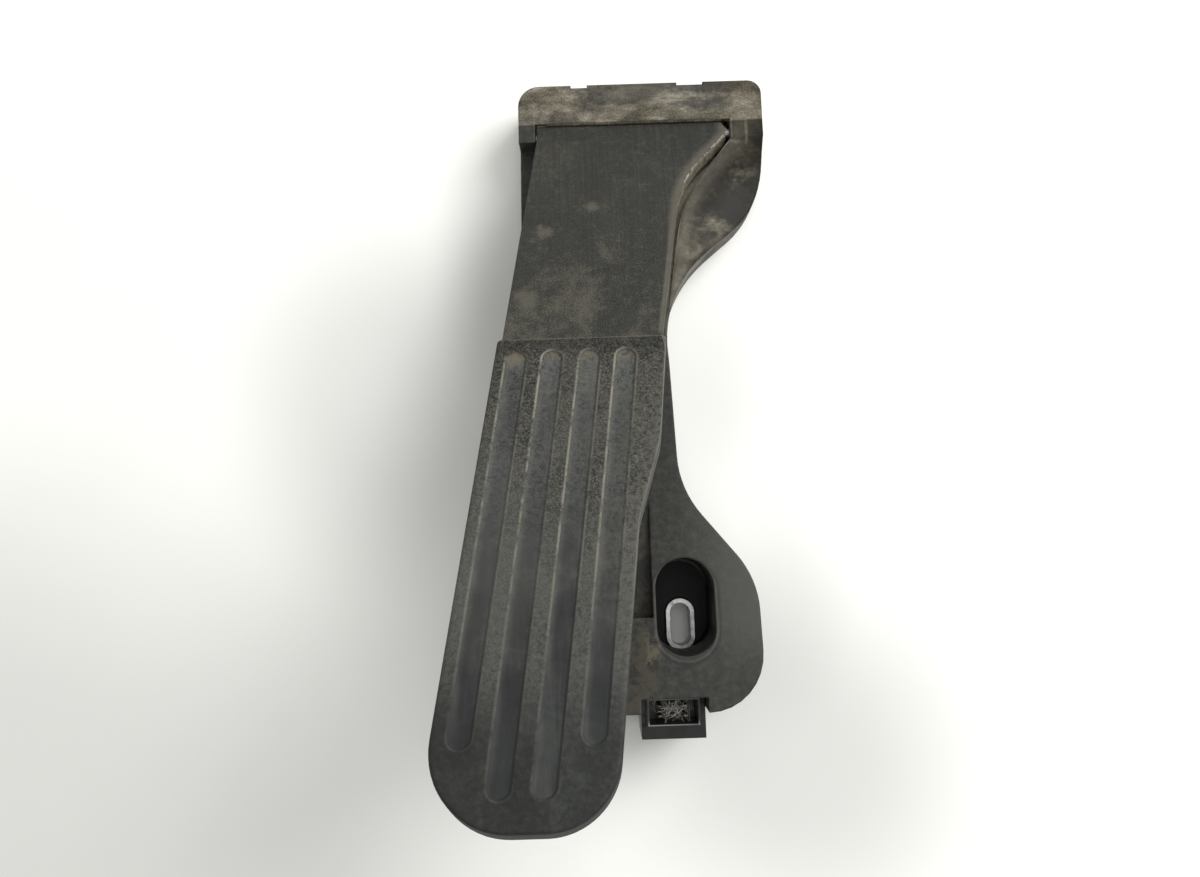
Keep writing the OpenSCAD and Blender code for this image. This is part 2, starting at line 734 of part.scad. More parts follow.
module pedal_plate() {
    skin_low = plate_rise - plate_skin;
    rim_low = plate_rise - plate_depth;
    shape = rounded(plate_corners, 8);
    color(dusty_black) on_plate() difference() {
        union() {
            difference() {
                translate([0, 0, rim_low]) linear_extrude(plate_depth) polygon(shape);
                translate([0, 0, rim_low - 1]) linear_extrude(plate_depth - plate_skin + 1)
                    polygon(inset(shape, rim_wall));
                block([-plate_len, pad_start - seat_gap, plate_rise - pad_skin + pad_step],
                      [plate_len, 2 * plate_len, plate_rise + over]);
            }
            translate([0, 0, rim_low + 1]) linear_extrude(skin_low - rim_low - 0.5) intersection() {
                polygon(inset(shape, 0.5));
                union() {
                    for (s = [rib_pitch:rib_pitch:plate_len]) translate([-90, s]) square([150, rib_wall]);
                    for (x = [-31, -13]) rotate(6.3) translate([x, 0]) square([rib_wall, plate_len]);
                }
            }
            rod_x(barrel_left, barrel_right, 0, 0, plate_rise);
            // Boss of the saddle
            block([lever_x - arm_w / 2, saddle_at[0] - saddle_half, saddle_low],
                  [lever_x + arm_w / 2, saddle_at[0] + saddle_half, skin_low + 0.5]);
        }
        // Saddle of the lever's nose
        rod_x(lever_x - arm_w / 2 - saddle_side, lever_x + arm_w / 2 + saddle_side,
              saddle_at[0], saddle_at[1], saddle_r);
        rod_x(barrel_left - over, flare_x + over, 0, 0, pin_r + run_gap);
    }
}

// Groove: a shallow round-bottomed trough with round ends
groove_tool_r = (groove_w * groove_w / 4 + groove_depth * groove_depth) / (2 * groove_depth);
pad_top = plate_rise + pad_step;
groove_first = -48.9;
groove_top = pad_start + 10;
groove_short = 14.5;
groove_lean = 7.6;
module groove(x, short) {
    run = plate_len - groove_top - 12.5 - (short ? groove_short : 0);
    translate([x, groove_top, pad_top + groove_tool_r - groove_depth]) rotate([0, 0, groove_lean]) {
        rotate([-90, 0, 0]) cylinder(h = run, r = groove_tool_r);
        sphere(r = groove_tool_r);
        translate([0, run, 0]) sphere(r = groove_tool_r);
    }
}

module tread_pad() {
    shape = rounded(pad_corners, 9);
    rim_bottom = pad_top - pad_skin - pad_wrap_depth;
    color(dusty_black) on_plate() difference() {
        rounded_block(shape, rim_bottom, pad_top, pad_edge_r);
        translate([0, 0, rim_bottom - over]) linear_extrude(pad_wrap_depth + over)
            polygon(inset(shape, pad_wrap - 3 * seat_gap));
        for (i = [0:groove_count - 1])
            groove(groove_first + i * groove_pitch, i == 0 || i == groove_count - 1);
        block([-plate_len, pad_start - over, rim_bottom - over], [plate_len, pad_start + pad_wrap, pad_top - pad_skin]);
    }
}

arm_low = -5.4;
arm_high = 6.4;
arm_tip = 4.4;
module lever_frame() {
    translate([lever_x, lever_y, lever_z]) rotate([lever_angle, 0, 0]) children();
}

module drive_lever() {
    color(plain_black) difference() {
        union() {
            lever_frame() {
                rod_x(-hub_w / 2, hub_w / 2, 0, 0, hub_r);
                rod_x(-arm_w / 2, arm_w / 2, lever_len, 0, nose_r);
                translate([arm_w / 2, 0, 0]) rotate([0, -90, 0]) linear_extrude(arm_w)
                    polygon([[arm_low, 0], [arm_high, 0], [arm_tip, lever_len], [-arm_tip, lever_len]]);
            }
            // Tail that rests on the buffer
            block([lever_x - 5, lever_y - tail_len - 1, tail_low], [lever_x + 5, lever_y, lever_z]);
            // Pad of the upper spring seat
            translate([lever_x, spring_y, upper_seat_z + 2]) cylinder(h = 6, r = 6);
        }
        rod_x(lever_x - hub_w, lever_x + hub_w, lever_y, lever_z, shaft_d / 2 + 0.02);
        lever_frame() for (side = [-1, 1]) translate([side * arm_w / 2, 0, 0])
            rotate([0, -90, 0]) linear_extrude(5, center = true)
                polygon([[-3.4, 14], [4.2, 14], [2.6, lever_len - 10], [-2.6, lever_len - 10]]);
    }
}

// Shaft's end, its ring, and the carrier of the magnet beside the board
shaft_tip = sensor_x[1] - 2.6;
ring_x = sensor_x[1] - 1.1;
ring_t = 0.8;
carrier_x = [sensor_x[1] - 4.1, sensor_x[1] - 1.4];
magnet_r = shaft_d / 2 - 1.1;
magnet_t = 1.2;
module lever_shaft() {
    color(zinc) difference() {
        rod_x(shaft_tip, chamber_x[1] + bearing_len - 0.2, lever_y, lever_z, shaft_d / 2);
        shaft_ring(ring_x - 0.1, ring_x + ring_t + 0.1, shaft_d, shaft_d / 2 - 0.6);
    }
}

module retaining_ring() {
    color(spring_steel) shaft_ring(ring_x, ring_x + ring_t, shaft_d / 2 + 2, shaft_d / 2 - 0.5);
}

module magnet_carrier() {
    color(plain_black) difference() {
        rod_x(carrier_x[0], carrier_x[1], lever_y, lever_z, shaft_d / 2 + 1.6);
        rod_x(shaft_tip - 0.02, carrier_x[1] + over, lever_y, lever_z, shaft_d / 2 + 0.02);
        rod_x(carrier_x[0] - over, carrier_x[1], lever_y, lever_z, magnet_r + seat_gap);
    }
}

module sensor_magnet() {
    color([0.35, 0.35, 0.37])
        rod_x(shaft_tip - 0.1 - magnet_t, shaft_tip - 0.1, lever_y, lever_z, magnet_r);
}

module upper_spring_seat() {
    color(plain_black) translate([lever_x, spring_y, upper_seat_z]) {
        cylinder(h = 2, r = seat_r);
        translate([0, 0, -2.5]) cylinder(h = 3, r = inner_r - inner_wire);
    }
}

housing();
rear_cover();
cover_seal();
cover_screws();
mounting_bush();
hinge_pin();
sensor_housing();
terminal_pins();
sensor_board();
shaft_bushes();
friction_disc();
wave_washer();
lower_spring_seat();
outer_spring();
inner_spring();
rest_buffer();
kickdown_buffer();
pedal_plate();
tread_pad();
drive_lever();
lever_shaft();
upper_spring_seat();
magnet_carrier();
sensor_magnet();
retaining_ring();
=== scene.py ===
import math
import random

import bmesh
import bpy
from mathutils import Matrix, Vector


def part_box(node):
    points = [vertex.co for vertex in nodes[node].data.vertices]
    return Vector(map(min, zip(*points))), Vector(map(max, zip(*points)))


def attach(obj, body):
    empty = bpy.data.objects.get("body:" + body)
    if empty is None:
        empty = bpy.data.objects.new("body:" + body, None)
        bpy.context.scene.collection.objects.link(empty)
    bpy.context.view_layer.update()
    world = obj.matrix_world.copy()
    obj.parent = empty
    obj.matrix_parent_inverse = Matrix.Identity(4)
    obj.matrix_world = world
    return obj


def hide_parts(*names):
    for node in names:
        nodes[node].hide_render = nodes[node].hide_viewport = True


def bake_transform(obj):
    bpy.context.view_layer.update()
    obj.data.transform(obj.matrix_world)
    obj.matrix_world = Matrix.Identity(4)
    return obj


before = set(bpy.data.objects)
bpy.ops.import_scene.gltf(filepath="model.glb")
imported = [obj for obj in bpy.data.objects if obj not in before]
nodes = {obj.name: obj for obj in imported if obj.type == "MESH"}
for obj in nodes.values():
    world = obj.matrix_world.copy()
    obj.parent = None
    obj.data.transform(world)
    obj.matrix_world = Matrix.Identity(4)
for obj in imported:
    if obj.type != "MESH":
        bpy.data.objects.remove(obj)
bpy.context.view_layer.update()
rng = random.Random(7)

# colours, given as 0 to 255
def lin(c):
    c = c / 255
    return c / 12.92 if c <= 0.04045 else ((c + 0.055) / 1.055) ** 2.4


# the share of a colour's light that the part's materials keep, set against the photograph
DEPTH = 0.69


def rgb(r, g, b, depth=DEPTH):
    return (lin(r) * depth, lin(g) * depth, lin(b) * depth, 1.0)


# node helper
class Mat:
    """A material's node tree with short calls for what repeats. Coordinates are the object's, in metres."""

    def __init__(self, name):
        self.m = bpy.data.materials.new(name)
        self.m.use_nodes = True
        self.t = self.m.node_tree
        self.t.nodes.clear()
        self.out = self.t.nodes.new("ShaderNodeOutputMaterial")
        self.b = self.t.nodes.new("ShaderNodeBsdfPrincipled")
        self.t.links.new(self.b.outputs[0], self.out.inputs[0])
        self.co = self.t.nodes.new("ShaderNodeTexCoord").outputs["Object"]

    def link(self, value, socket):
        if isinstance(value, (int, float, tuple)):
            socket.default_value = value
        else:
            self.t.links.new(value, socket)

    def math(self, op, a, b=0.0, clamp=False):
        n = self.t.nodes.new("ShaderNodeMath")
        n.operation = op
        n.use_clamp = clamp
        self.link(a, n.inputs[0])
        self.link(b, n.inputs[1])
        return n.outputs[0]

    def add(self, a, b):
        return self.math("ADD", a, b)

    def sub(self, a, b):
        return self.math("SUBTRACT", a, b)

    def mul(self, a, b):
        return self.math("MULTIPLY", a, b)

    def hypot(self, a, b):
        return self.math("SQRT", self.add(self.mul(a, a), self.mul(b, b)))

    def mix(self, f, a, b):
        n = self.t.nodes.new("ShaderNodeMix")
        n.data_type = "RGBA"
        n.clamp_factor = True
        self.link(f, n.inputs[0])
        self.link(a, n.inputs[6])
        self.link(b, n.inputs[7])
        return n.outputs[2]

    def lerp(self, f, a, b):
        n = self.t.nodes.new("ShaderNodeMix")
        n.data_type = "FLOAT"
        self.link(f, n.inputs[0])
        self.link(a, n.inputs[2])
        self.link(b, n.inputs[3])
        return n.outputs[0]

    def xyz(self, v=None):
        """The three parts of a vector, of the object's coordinates by default."""
        n = self.t.nodes.new("ShaderNodeSeparateXYZ")
        self.t.links.new(v or self.co, n.inputs[0])
        return n.outputs

    def normal(self):
        return self.t.nodes.new("ShaderNodeNewGeometry").outputs["Normal"]

    def mapped(self, scale=(1, 1, 1), rot=(0, 0, 0), loc=(0, 0, 0), v=None):
        n = self.t.nodes.new("ShaderNodeMapping")
        self.t.links.new(v or self.co, n.inputs[0])
        n.inputs["Location"].default_value = loc
        n.inputs["Rotation"].default_value = rot
        n.inputs["Scale"].default_value = scale
        return n.outputs[0]

    def noise(self, scale, detail=4, rough=0.55, dist=0.0, v=None):
        n = self.t.nodes.new("ShaderNodeTexNoise")
        self.t.links.new(v or self.co, n.inputs["Vector"])
        n.inputs["Scale"].default_value = scale
        n.inputs["Detail"].default_value = detail
        n.inputs["Roughness"].default_value = rough
        n.inputs["Distortion"].default_value = dist
        return n.outputs[0]

    def cells(self, scale):
        n = self.t.nodes.new("ShaderNodeTexVoronoi")
        self.t.links.new(self.co, n.inputs["Vector"])
        n.inputs["Scale"].default_value = scale
        return n.outputs[0]

    def step(self, v, lo, hi, a=0.0, b=1.0):
        """Smoothly from a to b as v goes from lo to hi; lo may be the larger one."""
        n = self.t.nodes.new("ShaderNodeMapRange")
        n.interpolation_type = "SMOOTHSTEP"
        self.link(v, n.inputs[0])
        for k, x in enumerate((lo, hi, a, b)):
            self.link(x, n.inputs[k + 1])
        return n.outputs[0]

    def step_linear(self, v, lo, hi):
        n = self.t.nodes.new("ShaderNodeMapRange")
        self.link(v, n.inputs[0])
        for k, x in enumerate((lo, hi, 0.0, 1.0)):
            n.inputs[k + 1].default_value = x
        return n.outputs[0]

    def ramp(self, f, stops):
        n = self.t.nodes.new("ShaderNodeValToRGB")
        el = n.color_ramp.elements
        while len(el) < len(stops):
            el.new(0.5)
        for e, (p, c) in zip(el, stops):
            e.position = p
            e.color = c
        self.link(f, n.inputs[0])
        return n.outputs[0]

    def edge(self, radius, gain=4.0):
        """1 on edges within radius, from how far the rounded normal leaves the true one."""
        n = self.t.nodes.new("ShaderNodeBevel")
        n.samples = 4
        n.inputs["Radius"].default_value = radius
        d = self.t.nodes.new("ShaderNodeVectorMath")
        d.operation = "DOT_PRODUCT"
        self.t.links.new(n.outputs[0], d.inputs[0])
        self.t.links.new(self.normal(), d.inputs[1])
        return self.math("MULTIPLY", self.math("SUBTRACT", 1.0, d.outputs["Value"]), gain, clamp=True)

    def bump(self, height, strength, distance, base=None):
        n = self.t.nodes.new("ShaderNodeBump")
        n.inputs["Strength"].default_value = strength
        n.inputs["Distance"].default_value = distance
        self.link(height, n.inputs["Height"])
        if base is not None:
            self.t.links.new(base, n.inputs["Normal"])
        return n.outputs[0]

    def round_normal(self, radius, samples=4):
        n = self.t.nodes.new("ShaderNodeBevel")
        n.samples = samples
        self.link(radius, n.inputs["Radius"])
        return n.outputs[0]

    def done(self, colour, rough, normal=None, metal=0.0, spec=0.5):
        self.link(colour, self.b.inputs["Base Color"])
        self.link(rough, self.b.inputs["Roughness"])
        # plain numbers, because a link into these isn't exported
        self.b.inputs["Metallic"].default_value = metal
        self.b.inputs["Specular IOR Level"].default_value = spec
        if normal is not None:
            self.t.links.new(normal, self.b.inputs["Normal"])
        return self.m


# outlines, in the plate's frame, in metres
def corner_arc(b, a, c, r, steps):
    """Points of the arc of radius r that rounds the corner b between a and c."""
    u = (a - b).normalized()
    v = (c - b).normalized()
    half = math.acos(max(-1, min(1, u.dot(v)))) / 2
    centre = b + (u + v).normalized() * (r / math.sin(half))
    first = b + u * (r / math.tan(half)) - centre
    side = -1 if u.x * v.y - u.y * v.x > 0 else 1
    sweep = side * (math.pi - 2 * half)
    return [centre + Matrix.Rotation(sweep * i / steps, 2) @ first for i in range(steps + 1)]


def rounded(corners, steps=16):
    """An outline from corners given as x, y and radius."""
    pts = [Vector(c[:2]) for c in corners]
    out = []
    for i, c in enumerate(corners):
        if c[2] == 0:
            out.append(pts[i])
        else:
            out += corner_arc(pts[i], pts[i - 1], pts[(i + 1) % len(pts)], c[2], steps)
    return out


def crossings(outline, s):
    """Lowest and highest x where an outline crosses that distance along the plate."""
    xs = []
    for a, b in zip(outline, outline[1:] + outline[:1]):
        if (a.y - s) * (b.y - s) <= 0 and abs(a.y - b.y) > 1e-9:
            xs.append(a.x + (b.x - a.x) * (s - a.y) / (b.y - a.y))
    return (min(xs), max(xs)) if xs else None


# the plate as in the CAD: its slope at rest, the hinge's height, its length and where the pad starts
PLATE_SLOPE = math.radians(24)
HINGE_Z = 0.015
PLATE_LEN = 0.287
PAD_START = 0.1137
PAD_OUTLINE = rounded([
    (-0.0566, PAD_START, 0.002), (0.0066, PAD_START, 0.002), (0.002, 0.158, 0.040), (-0.007, 0.189, 0.040),
    (-0.018, PLATE_LEN, 0.0226), (-0.076, PLATE_LEN, 0.0246)])
ARM_OUTLINE = rounded([
    (-0.0416, -0.0015, 0.003), (0.0364, -0.0015, 0.003), (0.0398, 0.005, 0.003), (0.0172, 0.033, 0.060),
    (0.0050, PAD_START, 0.0), (-0.0550, PAD_START, 0.0)])


# the colour ramp of a curve holds numbers between minus and plus this
CURVE_LIMIT = 0.1


def lookup(k, value, low, high, samples):
    """A curve by colour ramp, with its samples spread evenly as value goes from low to high."""
    stops = []
    for i, v in enumerate(samples):
        g = (v + CURVE_LIMIT) / (2 * CURVE_LIMIT)
        stops.append((i / (len(samples) - 1), (g, g, g, 1)))
    curve = k.ramp(k.step_linear(value, low, high), stops)
    return k.sub(k.mul(curve, 2 * CURVE_LIMIT), CURVE_LIMIT)


# materials
def plate_edge_x(k, s):
    """x of the plate's right edge at a distance s along it."""
    first, last, count = 0.005, 0.1135, 24
    values = [crossings(ARM_OUTLINE, first + (last - first) * i / count)[1] for i in range(count + 1)]
    return lookup(k, s, first, last, values)


def obround_distance(k, x, y, cx, cy, width, length):
    """Distance outside an obround along Y, negative inside."""
    dx = k.sub(x, cx)
    dy = k.math("ABSOLUTE", k.sub(y, cy))
    dy = k.math("MAXIMUM", k.sub(dy, (length - width) / 2), 0.0)
    return k.sub(k.hypot(dx, dy), width / 2)


def box_distance(k, x, y, x0, x1, y0, y1):
    """How far outside a rectangle a point lies, negative inside."""
    dx = k.sub(k.math("ABSOLUTE", k.sub(x, (x0 + x1) / 2)), (x1 - x0) / 2)
    dy = k.sub(k.math("ABSOLUTE", k.sub(y, (y0 + y1) / 2)), (y1 - y0) / 2)
    return k.math("MAXIMUM", dx, dy)


# places on the housing, in metres: the bolt pocket as x, y, width and length, the rest as x0, x1, y0, y1
POCKET = (0.0116, -0.2040, 0.0229, 0.0374)
LUG_RECESS = (0.0405, 0.0470, -0.0060, 0.0030)
GRIMY_SPOT = (-0.0050, 0.0016, -0.2240, -0.2120)
SOCKET = (-0.0038, 0.0152, -0.2481, -0.2384)


def dish_stains_and_shade(k, flank, coarse, fine, colour):
    """The dished flank beside the plate, stained and with painted shade, and the dust packed in the gap
    between them, painted light enough to lift the gap's shade.
    """
    x, y, _ = k.xyz()
    nz = k.xyz(k.normal())[2]
    # stained in patches, palest low down, with painted shade near the hinge
    turned = k.mapped(loc=(0.013, 0.004, 0.0), rot=(0, 0, 0.7), scale=(0.8, 1.3, 1.0))
    patchy = k.noise(58, 8, 0.70, 0.2, turned)
    patchy = k.add(k.mul(patchy, 0.8), k.mul(fine, 0.2))
    patchy = k.add(patchy, k.mul(k.step(y, -0.018, -0.085), 0.12))
    shady_x = k.math("DIVIDE", k.sub(x, 0.043), 0.016)
    shady_y = k.math("DIVIDE", k.add(y, 0.024), 0.017)
    shady = k.add(k.mul(shady_x, shady_x), k.mul(shady_y, shady_y))
    patchy = k.sub(patchy, k.step(shady, 1.3, 0.2, 0.0, 0.075))
    stain = k.ramp(patchy, [(0.45, rgb(30, 28, 22)), (0.51, rgb(58, 54, 45)), (0.57, rgb(100, 94, 80)),
                            (0.66, rgb(150, 144, 130))])
    colour = k.mix(k.mul(flank, 0.85), colour, stain)
    # the dish: light along the plate's flare, with painted shade in the middle and along the outer rim
    s = k.math("DIVIDE", k.mul(y, -1.0), 0.9)
    from_plate = k.sub(x, plate_edge_x(k, s))
    lip = k.mul(k.step(from_plate, 0.0125, 0.0035), flank)
    lip = k.mul(lip, k.step(k.add(coarse, k.mul(fine, 0.4)), 0.45, 0.80))
    colour = k.mix(k.mul(lip, 0.60), colour, rgb(118, 113, 101))
    # dust packed in the gap, painted light enough to lift the gap's shade
    packed_dust_and_light = k.mul(k.step(from_plate, 0.0030, 0.0016), k.step(x, 0.004, 0.010))
    upright = k.step(nz, 0.5, 0.2)
    notch = k.mul(k.step(y, 0.0085, 0.0075), k.mul(upright, k.step(x, 0.036, 0.038)))
    reach = k.math("MAXIMUM", k.step(y, 0.0042, 0.0038), notch)
    packed_dust_and_light = k.mul(packed_dust_and_light, k.mul(k.step(y, -0.080, -0.050), reach))
    packed_dust_and_light = k.mul(packed_dust_and_light, k.step(from_plate, -0.0050, -0.0040))
    colour = k.mix(k.mul(packed_dust_and_light, k.step(fine, 0.25, 0.55, 0.5, 1.0)), colour, rgb(214, 205, 186))
    # painted shade along the rounded outer rim, and on the high outer part near the hinge
    painted_rim_shading = k.mul(k.edge(0.0042, 5.0), k.mul(flank, k.step(from_plate, 0.004, 0.009)))
    colour = k.mix(k.mul(painted_rim_shading, 0.8), colour, rgb(38, 36, 33))
    high = k.mul(k.mul(k.step(x, 0.046, 0.0535), flank), k.step(y, -0.045, -0.028))
    colour = k.mix(k.mul(high, 0.55), colour, rgb(42, 40, 36))
    return colour


def ear_grime_and_shade(k, ear, coarse, blotch, fine, colour):
    """The bolt ear with its grime, and painted shade in the channel beside it."""
    x, y, _ = k.xyz()
    # greyer and lighter to the right, painted shade in the channel by the plate, brown grit along the
    # channel
    pale = k.mul(ear, k.step(k.add(x, k.mul(coarse, 0.02)), 0.014, 0.050))
    pale = k.mul(pale, k.step(y, -0.236, -0.205))
    colour = k.mix(k.mul(pale, 0.75), colour, rgb(92, 92, 88))
    channel = k.mul(k.step(x, 0.0010, -0.0015), k.step(y, -0.150, -0.175))
    colour = k.mix(k.mul(channel, 0.55), colour, rgb(44, 44, 41))
    spot = box_distance(k, x, y, *GRIMY_SPOT)
    spot = k.step(k.add(spot, k.mul(k.sub(fine, 0.5), 0.012)), 0.0012, -0.0008)
    grime = k.math("MAXIMUM", spot, k.mul(channel, 0.35))
    grime = k.mul(grime, k.step(k.add(blotch, k.mul(fine, 0.6)), 0.72, 0.90))
    colour = k.mix(k.mul(grime, 0.8), colour, rgb(112, 104, 88))
    return colour


def pocket_and_lug(k, blotch, fine, colour):
    """The pocket's inside painted black as shade, which is handed back too, and the recess at the hinge's
    right end, with painted shade inside it.
    """
    x, y, z = k.xyz()
    # the pocket: painted black inside as shade, a light line on its rim and a dark one round it
    d = obround_distance(k, x, y, *POCKET)
    rim_line = k.mul(k.step(d, -0.0002, 0.0003), k.step(d, 0.0012, 0.0006))
    ring_line = k.mul(k.step(d, 0.0010, 0.0014), k.step(d, 0.0024, 0.0018))
    colour = k.mix(k.mul(rim_line, 0.30), colour, rgb(104, 106, 104))
    colour = k.mix(k.mul(ring_line, 0.40), colour, rgb(36, 36, 35))
    pocket_shade = k.mul(k.step(d, 0.0001, -0.0002), k.step(z, 0.0452, 0.0440))
    colour = k.mix(pocket_shade, colour, rgb(5, 6, 6))
    # the lug's recess at the right end of the hinge, with painted shade inside it and a light line round it
    lug = box_distance(k, x, y, *LUG_RECESS)
    inside = k.step(lug, 0.0003, -0.0005)
    frame_line = k.mul(k.step(lug, -0.0001, 0.0004), k.step(lug, 0.0016, 0.0009))
    colour = k.mix(k.mul(inside, k.step(blotch, 0.35, 0.6, 0.75, 0.25)), colour, rgb(44, 42, 38))
    colour = k.mix(k.mul(frame_line, k.step(fine, 0.3, 0.6, 0.1, 0.6)), colour, rgb(134, 128, 114))
    return colour, pocket_shade


def housing_material():
    k = Mat("housing_dusty")
    x, y, z = k.xyz()
    nz = k.xyz(k.normal())[2]
    up = k.step(nz, 0.15, 0.85)
    flange = k.step(y, 0.0026, 0.0040)
    right = k.step(x, 0.006, 0.018)
    flank = k.mul(right, k.step(y, -0.125, -0.085))
    flank = k.mul(flank, k.sub(1.0, flange))
    ear = k.step(y, -0.125, -0.165)
    coarse = k.noise(40, 6, 0.66, 0.4)
    blotch = k.noise(95, 5, 0.64, 0.4)
    fine = k.noise(340, 5, 0.72, 0.2)
    grit = k.noise(1500, 3, 0.65)
    # how much dust lies where
    corner = k.mul(k.step(x, 0.0385, 0.0420), k.step(y, -0.0200, -0.0100))
    amount = k.lerp(flange, k.lerp(flank, k.lerp(ear, 0.10, 0.05), 0.34), 0.80)
    amount = k.math("MAXIMUM", amount, k.mul(corner, 0.84))
    cover = k.add(k.mul(coarse, 0.9), k.mul(blotch, 0.7))
    cover = k.add(cover, k.mul(fine, 0.45))
    thick = k.add(k.sub(cover, 1.40), k.mul(amount, 0.75))
    side = k.add(0.30, k.mul(up, 0.70))
    side = k.math("MAXIMUM", side, k.mul(flange, 0.85))
    dust = k.mul(k.step(thick, k.lerp(flank, -0.16, -0.06), k.lerp(flank, 0.30, 0.14)), side)
    # long damp streaks on the flange
    streak = k.step(k.noise(34, 7, 0.68, 0.25, k.mapped(scale=(0.45, 1.7, 1))), 0.51, 0.60)
    streak = k.mul(streak, k.mul(flange, 0.60))
    dust = k.mul(dust, k.sub(1.0, streak))
    base = k.ramp(fine, [(0.28, rgb(44, 44, 42)), (0.5, rgb(60, 60, 57)), (0.72, rgb(76, 76, 73))])
    patch = k.noise(62, 8, 0.72, 0.15, k.mapped(scale=(0.62, 1.35, 1.2)))
    powder = k.ramp(k.add(k.mul(grit, 0.30), k.mul(patch, 0.70)),
                    [(0.39, rgb(76, 70, 58)), (0.50, rgb(132, 125, 111)), (0.61, rgb(190, 182, 167))])
    colour = k.mix(dust, base, powder)
    colour = dish_stains_and_shade(k, flank, coarse, fine, colour)
    colour = ear_grime_and_shade(k, ear, coarse, blotch, fine, colour)
    # the lip's front face above the barrel, dust and painted light that lifts its shade
    steep = k.mul(k.step(z, 0.0198, 0.0203), k.step(nz, 0.6, 0.3))
    face = k.mul(k.step(y, 0.0050, 0.0046), steep)
    colour = k.mix(k.mul(face, k.step(y, 0.0020, 0.0030)), colour, rgb(150, 142, 126))
    # rubbed edges
    worn = k.mul(k.edge(0.0010, 5.0), k.step(k.noise(160, 4, 0.6), 0.40, 0.66))
    colour = k.mix(k.mul(worn, 0.40), colour, rgb(124, 120, 111))
    colour, pocket_shade = pocket_and_lug(k, blotch, fine, colour)
    # specks
    speck = k.step(k.cells(900), 0.16, 0.05)
    speck = k.mul(speck, k.step(k.noise(210, 2, 0.5), 0.55, 0.66))
    colour = k.mix(k.mul(speck, 0.35), colour, rgb(142, 136, 122))
    rough = k.lerp(pocket_shade, k.lerp(dust, 0.50, 0.9), 0.5)
    n1 = k.round_normal(k.lerp(flank, 0.0012, 0.0030), 6)
    n2 = k.bump(k.noise(2600, 2, 0.5), 0.25, 0.0004, n1)
    n3 = k.bump(k.mul(dust, k.noise(700, 4, 0.65)), 0.35, 0.0007, n2)
    return k.done(colour, rough, n3, spec=0.16)


def on_plate(k):
    """Coordinates in the plate's own frame: across, along from the hinge, out of the face."""
    # plate_point the other way round: moved to the hinge, turned back by the slope, then mirrored in y
    a = PLATE_SLOPE
    x, y, z = k.xyz()
    z = k.sub(z, HINGE_Z)
    yy = k.sub(k.mul(y, math.cos(a)), k.mul(z, math.sin(a)))
    zz = k.add(k.mul(y, math.sin(a)), k.mul(z, math.cos(a)))
    return x, k.mul(yy, -1.0), zz


def join(k, x, y, z):
    n = k.t.nodes.new("ShaderNodeCombineXYZ")
    k.link(x, n.inputs[0])
    k.link(y, n.inputs[1])
    k.link(z, n.inputs[2])
    return n.outputs[0]


def plate_side(k, at, from_edge, on_arm, fine, grit, colour):
    """The plate's right side, given where it is as x, along, out and the three as one vector."""
    x, s, h, v = at
    # a light band where it is rounded, dust and a painted highlight, then the chewed white edge above the
    # gap
    flare = k.step(s, 0.085, 0.020)
    width = k.lerp(flare, 0.0022, 0.0058)
    band = k.step(from_edge, width, 0.0012)
    soft = k.mul(k.mul(band, on_arm), k.add(0.45, k.mul(fine, 0.5)))
    colour = k.mix(k.mul(soft, 0.80), colour, rgb(122, 117, 104))
    worn = k.edge(0.0013, 6.0)
    colour = k.mix(k.mul(worn, 0.22), colour, rgb(104, 101, 93))
    side = k.mul(k.step(from_edge, 0.0005, 0.0002), k.step(s, 0.075, 0.045))
    side = k.mul(side, k.mul(k.step(x, 0.004, 0.008), k.step(s, 0.0, 0.003)))
    caked = k.ramp(k.add(k.mul(fine, 0.6), k.mul(grit, 0.4)),
                   [(0.38, rgb(60, 56, 47)), (0.50, rgb(122, 115, 100)), (0.62, rgb(160, 152, 136))])
    colour = k.mix(k.mul(side, k.step(h, 0.0066, 0.0058)), colour, caked)
    ragged = k.add(h, k.mul(k.sub(k.noise(330, 4, 0.7, 0.4, v), 0.5), 0.0024))
    chew = k.mul(k.step(ragged, 0.0049, 0.0053), k.step(ragged, 0.0068, 0.0063))
    chew = k.mul(k.mul(chew, side), k.step(s, 0.042, 0.030))
    gnawed = k.step(k.noise(520, 4, 0.7, 0.6, v), k.lerp(k.step(s, 0.010, 0.014), 0.36, 0.50), 0.58)
    chew = k.mul(chew, gnawed)
    colour = k.mix(chew, colour, rgb(206, 202, 193))
    return colour


